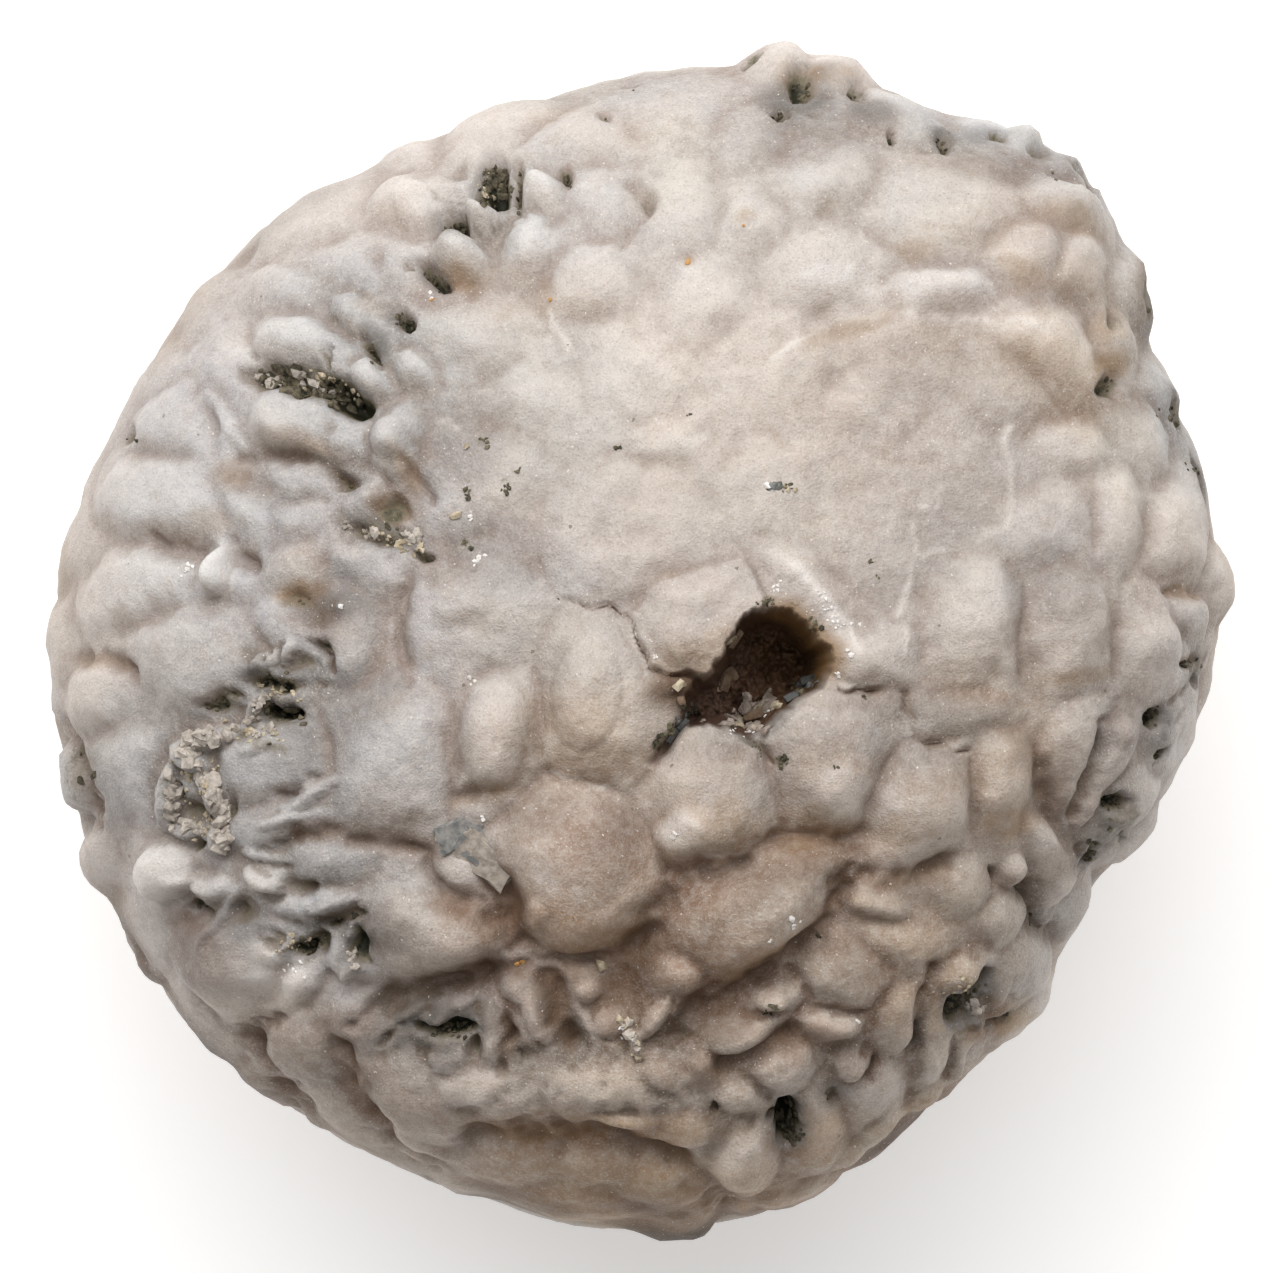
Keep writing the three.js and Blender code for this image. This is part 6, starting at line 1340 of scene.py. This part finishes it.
def layCrystals(bench, look):
    # bright specks, partly pale grains and partly painted glints off crystal faces, and dark grains; none of
    # them lies inside the pits
    bare = bench.math("SUBTRACT", 1.0, bench.math("MAXIMUM", bench.mask("mouth"), bench.mask("pit")))
    wobble = bench.add("ShaderNodeTexNoise", {"Vector": bench.at, "Scale": 9.0, "Detail": 1.0})
    shaken = bench.vectorMath("MULTIPLY", wobble.outputs["Color"], (look["crystalWobble"],) * 3)
    scattered = bench.vectorMath("ADD", bench.at, shaken)
    for scale, size, tint in look["crystals"]:
        cells = bench.add("ShaderNodeTexVoronoi", {"Vector": scattered, "Scale": scale, "Randomness": 1.0})
        pick = bench.add("ShaderNodeSeparateColor", {"Color": cells.outputs["Color"]}).outputs["Red"]
        largest = bench.share(bench.ramp(pick, 0.5, 1.0), size)
        dot = bench.math("MULTIPLY", bench.math("LESS_THAN", cells.outputs["Distance"], largest), bare)
        bench.cover(bench.share(dot, 0.7), look[tint])


def calciteMaterial():
    look = calciteLook
    bench = NodeBench("wornCalcite")
    bench.measureInMillimetres()
    grain = {name: bench.noise(*settings) for name, settings in look["grain"].items()}
    layStone(bench, look, grain)
    layStains(bench, look, grain)
    laySilt(bench, look, grain["mottle"])
    layOpening(bench, look, grain["mottle"])
    layCrystals(bench, look)
    relief = bench.math("ADD", grain["sugar"], bench.share(grain["mottle"], 2.0))
    bump = bench.add("ShaderNodeBump", {"Height": relief, "Strength": look["bumpiness"],
                                        "Distance": look["bumpHeight"] * mm})
    bench.shade({
        "Base Color": bench.base,
        "Roughness": bench.ramp(grain["sugar"], 0.3, 0.7, look["roughest"], look["smoothest"]),
        "Specular IOR Level": look["gloss"],
        "Subsurface Weight": look["translucency"],
        "Subsurface Radius": look["glow"],
        "Subsurface Scale": look["glowDepth"] * mm,
        "Normal": bump.outputs["Normal"],
    })
    return bench.material


stone.data.materials.append(calciteMaterial())
print("calcite done")


def plainMaterial(name, dark, light, rough):
    bench = NodeBench(name)
    bench.measureInMillimetres()
    grain = bench.noise(2.6, 4.0, 0.7)
    bench.shade({"Base Color": bench.mix(bench.ramp(grain, 0.35, 0.65), dark, light), "Roughness": rough})
    return bench.material


def surfaceTree():
    mesh = bmesh.new()
    mesh.from_mesh(stone.data)
    tree = BVHTree.FromBMesh(mesh)
    mesh.free()
    return tree


def placeOnStone(tree, x, y):
    # the point and outward normal of the stone under a place in the plan, and whether it is in a pit
    above, shallowest = 100 * mm, 0.2
    start = Vector(((x - formShift[0]) * mm, (y - formShift[1]) * mm, above))
    hit, normal, index, distance = tree.ray_cast(start, Vector((0, 0, -1)))
    if hit is None:
        return None, None, False
    depths = stone.data.attributes["pit"].data
    return hit, normal, max(depths[v].value for v in stone.data.polygons[index].vertices) > shallowest


# How much the crumbs differ from round: each corner in or out, the sides, the height, the tip and how
# far the middle stands off the stone.
crumbShape = {"corners": (0.45, 1.3), "sides": (0.8, 1.3), "height": (0.7, 1.1), "tip": 0.5, "standOff": 0.15}


def addCrumb(mesh, chance, where, normal, size, flatness):
    made = bmesh.ops.create_icosphere(mesh, subdivisions=1, radius=size * mm)["verts"]
    for vertex in made:
        vertex.co *= chance.uniform(*crumbShape["corners"])
    sides = [chance.uniform(*crumbShape["sides"]) for i in range(2)]
    stretch = Vector((*sides, flatness * chance.uniform(*crumbShape["height"])))
    bmesh.ops.scale(mesh, vec=stretch, verts=made)
    spin = Matrix.Rotation(chance.uniform(0, 2 * math.pi), 3, "Z")
    tip = Matrix.Rotation(chance.uniform(-crumbShape["tip"], crumbShape["tip"]), 3, "X")
    turn = normal.to_track_quat("Z", "Y").to_matrix() @ tip @ spin
    bmesh.ops.rotate(mesh, matrix=turn, verts=made)
    bmesh.ops.translate(mesh, vec=where + normal * crumbShape["standOff"] * size * mm, verts=made)


def finishPiece(name, kind, mesh):
    bmesh.ops.recalc_face_normals(mesh, faces=mesh.faces)
    data = bpy.data.meshes.new(name)
    mesh.to_mesh(data)
    mesh.free()
    data.materials.append(plainMaterial(name, *kind["colours"], kind["roughness"]))
    piece = bpy.data.objects.new(name, data)
    bpy.context.scene.collection.objects.link(piece)
    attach(piece, "root")
    print(name, len(data.polygons), "faces")


def buildCrumbs(name, kind, tree):
    chance = random.Random(name)
    mesh = bmesh.new()
    for x, y, halfLength, halfWidth, turn, count, smallest, largest in kind["heaps"]:
        along = Vector((math.cos(math.radians(turn)), math.sin(math.radians(turn))))
        for i in range(count):
            reach, angle = chance.random() ** 0.7, chance.uniform(0, 2 * math.pi)
            u, v = halfLength * reach * math.cos(angle), halfWidth * reach * math.sin(angle)
            across, up = x + u * along.x - v * along.y, y + u * along.y + v * along.x
            where, normal, sunk = placeOnStone(tree, across, up)
            strays = chance.random() < kind["strays"]
            if where is not None and (sunk or strays):
                size = smallest + (largest - smallest) * chance.random() ** 2
                addCrumb(mesh, chance, where, normal, size, kind["flatness"])
    finishPiece(name, kind, mesh)


# Thin cleavage flakes of grey crystal, and paler chips: x, y, length, width, thickness, turn, tip.
flakes = {
    "greyFlakes": {
        "colours": (colour(94, 95, 94), colour(138, 134, 128)),
        "roughness": 0.6, "jag": 0.8, "rounding": 0,
        "slabs": [(-5.85, -6.15, 1.5, 0.9, 0.2, 24, 6), (-5.5, -6.6, 1.0, 0.8, 0.2, -40, 5)],
    },
    "darkFlakes": {
        "colours": (colour(42, 43, 42), colour(70, 70, 67)),
        "roughness": 0.6, "jag": 1.0, "rounding": 1,
        "slabs": [
            (5.6, -1.25, 0.7, 0.3, 0.25, 25, 20), (5.3, -1.4, 0.4, 0.3, 0.25, 60, -10),
            (1.0, -2.95, 0.6, 0.2, 0.2, 55, 8), (1.35, -2.6, 0.5, 0.2, 0.2, 45, 8),
            (5.0, -1.8, 0.5, 0.25, 0.25, 35, 12),
        ]},
    "paleChips": {
        "colours": (colour(126, 116, 105), colour(172, 160, 148)),
        "roughness": 0.7, "jag": 1.1, "rounding": 0,
        "slabs": [
            (-5.1, -7.0, 1.9, 0.95, 0.24, -42, 7), (-4.6, -7.5, 0.7, 0.7, 0.24, -50, -4),
            (-6.3, -6.45, 0.7, 0.35, 0.2, -38, 6),
        ]},
    "tanChips": {
        "colours": (colour(92, 74, 58), colour(126, 106, 86)),
        "roughness": 0.8, "jag": 1.3, "rounding": 3,
        "slabs": [
            (3.9, -2.4, 0.8, 0.32, 0.4, 15, -6), (2.7, -1.15, 0.35, 0.6, 0.4, -15, 12),
            (3.08, 0.2, 0.22, 0.7, 0.2, -32, 5), (1.3, -1.85, 0.3, 0.3, 0.25, 20, 5),
            (2.9, -0.9, 0.4, 0.5, 0.4, 30, 0),
        ]},
}
# How the flakes are cut: cuts along each edge, how far and how often the corners wander, how upright
# they lie on a slope, and how far the middle stands off the stone.
flakeShape = {"cuts": 3, "jag": (0.16, 0.22, 0.2), "jagScale": 2.5, "upright": 0.7, "standOff": 0.3}


def addFlake(mesh, kind, tree, x, y, size, turn, tip):
    before = len(mesh.verts)
    made = bmesh.ops.create_cube(mesh, size=1.0)["verts"]
    edges = list({e for v in made for e in v.link_edges})
    bmesh.ops.subdivide_edges(mesh, edges=edges, cuts=flakeShape["cuts"], use_grid_fill=True)
    mesh.verts.ensure_lookup_table()
    made = mesh.verts[before:]
    for vertex in made:
        jag = noise.noise_vector(vertex.co * flakeShape["jagScale"] + Vector((x, y, 0)))
        vertex.co += kind["jag"] * Vector([reach * j for reach, j in zip(flakeShape["jag"], jag)])
    for i in range(kind["rounding"]):
        bmesh.ops.smooth_vert(mesh, verts=made, factor=0.5, use_axis_x=True, use_axis_y=True, use_axis_z=True)
    bmesh.ops.scale(mesh, vec=Vector(size) * mm, verts=made)
    where, normal, sunk = placeOnStone(tree, x, y)
    up = Vector((0, 0, 1))
    spin = Matrix.Rotation(math.radians(turn), 3, "Z") @ Matrix.Rotation(math.radians(tip), 3, "Y")
    lean = up.rotation_difference(normal.lerp(up, flakeShape["upright"])).to_matrix()
    bmesh.ops.rotate(mesh, matrix=lean @ spin, verts=made)
    bmesh.ops.translate(mesh, vec=where + normal * flakeShape["standOff"] * size[2] * mm, verts=made)


def buildFlakes(name, kind, tree):
    mesh = bmesh.new()
    for x, y, length, width, thickness, turn, tip in kind["slabs"]:
        addFlake(mesh, kind, tree, x, y, (length, width, thickness), turn, tip)
    finishPiece(name, kind, mesh)


stoneTree = surfaceTree()
for name, kind in crumbs.items():
    buildCrumbs(name, kind, stoneTree)
for name, kind in flakes.items():
    buildFlakes(name, kind, stoneTree)


studio = {
    "floorSide": 6.0, "floor": colour(246, 245, 244), "floorRoughness": 0.9, "floorGlow": 0.35,
    "window": {"place": (-0.05, 0.33, 0.41), "size": (0.9, 0.3), "power": 3.85},
    "ceiling": {"place": (0.0, 0.15, 1.1), "size": (1.3, 1.3), "power": 4.2},
    "ambient": 0.17,
    "lens": 500.0, "sensor": 36.0,
    "viewWidth": 42.43,             # mm that the camera takes in at the calyx's widest level
    "viewMiddle": (-0.117, 0.25),   # mm from the calyx's axis
}


def aimed(thing, place, target):
    thing.location = place
    thing.rotation_euler = (Vector(target) - Vector(place)).to_track_quat("-Z", "Y").to_euler()


def buildFloor(scene):
    grid = bmesh.new()
    bmesh.ops.create_grid(grid, x_segments=1, y_segments=1, size=studio["floorSide"] / 2)
    mesh = bpy.data.meshes.new("floor")
    grid.to_mesh(mesh)
    grid.free()
    floor = bpy.data.objects.new("floor", mesh)
    scene.collection.objects.link(floor)
    bench = NodeBench("paleFloor")
    bench.shade({"Base Color": studio["floor"], "Roughness": studio["floorRoughness"],
                 "Emission Color": studio["floor"], "Emission Strength": studio["floorGlow"]})
    mesh.materials.append(bench.material)
    floor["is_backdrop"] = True


def buildLights(scene):
    for name in ("window", "ceiling"):
        light = bpy.data.lights.new(name + "Light", "AREA")
        light.shape = "RECTANGLE"
        light.size, light.size_y = studio[name]["size"]
        light.energy = studio[name]["power"]
        lamp = bpy.data.objects.new(name + "Light", light)
        scene.collection.objects.link(lamp)
        lamp.visible_camera = False
        aimed(lamp, studio[name]["place"], (cadLow + cadHigh) / 2)
    world = bpy.data.worlds.new("studio")
    world.use_nodes = True
    sky = world.node_tree.nodes["Background"].inputs
    sky["Color"].default_value = (1.0, 1.0, 1.0, 1.0)
    sky["Strength"].default_value = studio["ambient"]
    scene.world = world


def buildCamera(scene):
    camera = bpy.data.cameras.new("camera")
    camera.lens, camera.sensor_width = studio["lens"], studio["sensor"]
    eye = bpy.data.objects.new("camera", camera)
    scene.collection.objects.link(eye)
    distance = studio["viewWidth"] * mm * studio["lens"] / studio["sensor"]
    widest = (form["cupDepth"] - form["wornBase"]) * mm
    x, y = ((studio["viewMiddle"][k] - formShift[k]) * mm for k in (0, 1))
    eye.location = (x, y, widest + distance)
    camera.clip_end = 10.0
    scene.camera = eye
    scene.view_settings.view_transform = "Standard"


buildFloor(bpy.context.scene)
buildLights(bpy.context.scene)
buildCamera(bpy.context.scene)

low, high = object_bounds()
for what, corners in (("cad", (*cadLow, *cadHigh)), ("visual", (*low, *high))):
    print(what, [round(v / mm, 2) for v in corners])
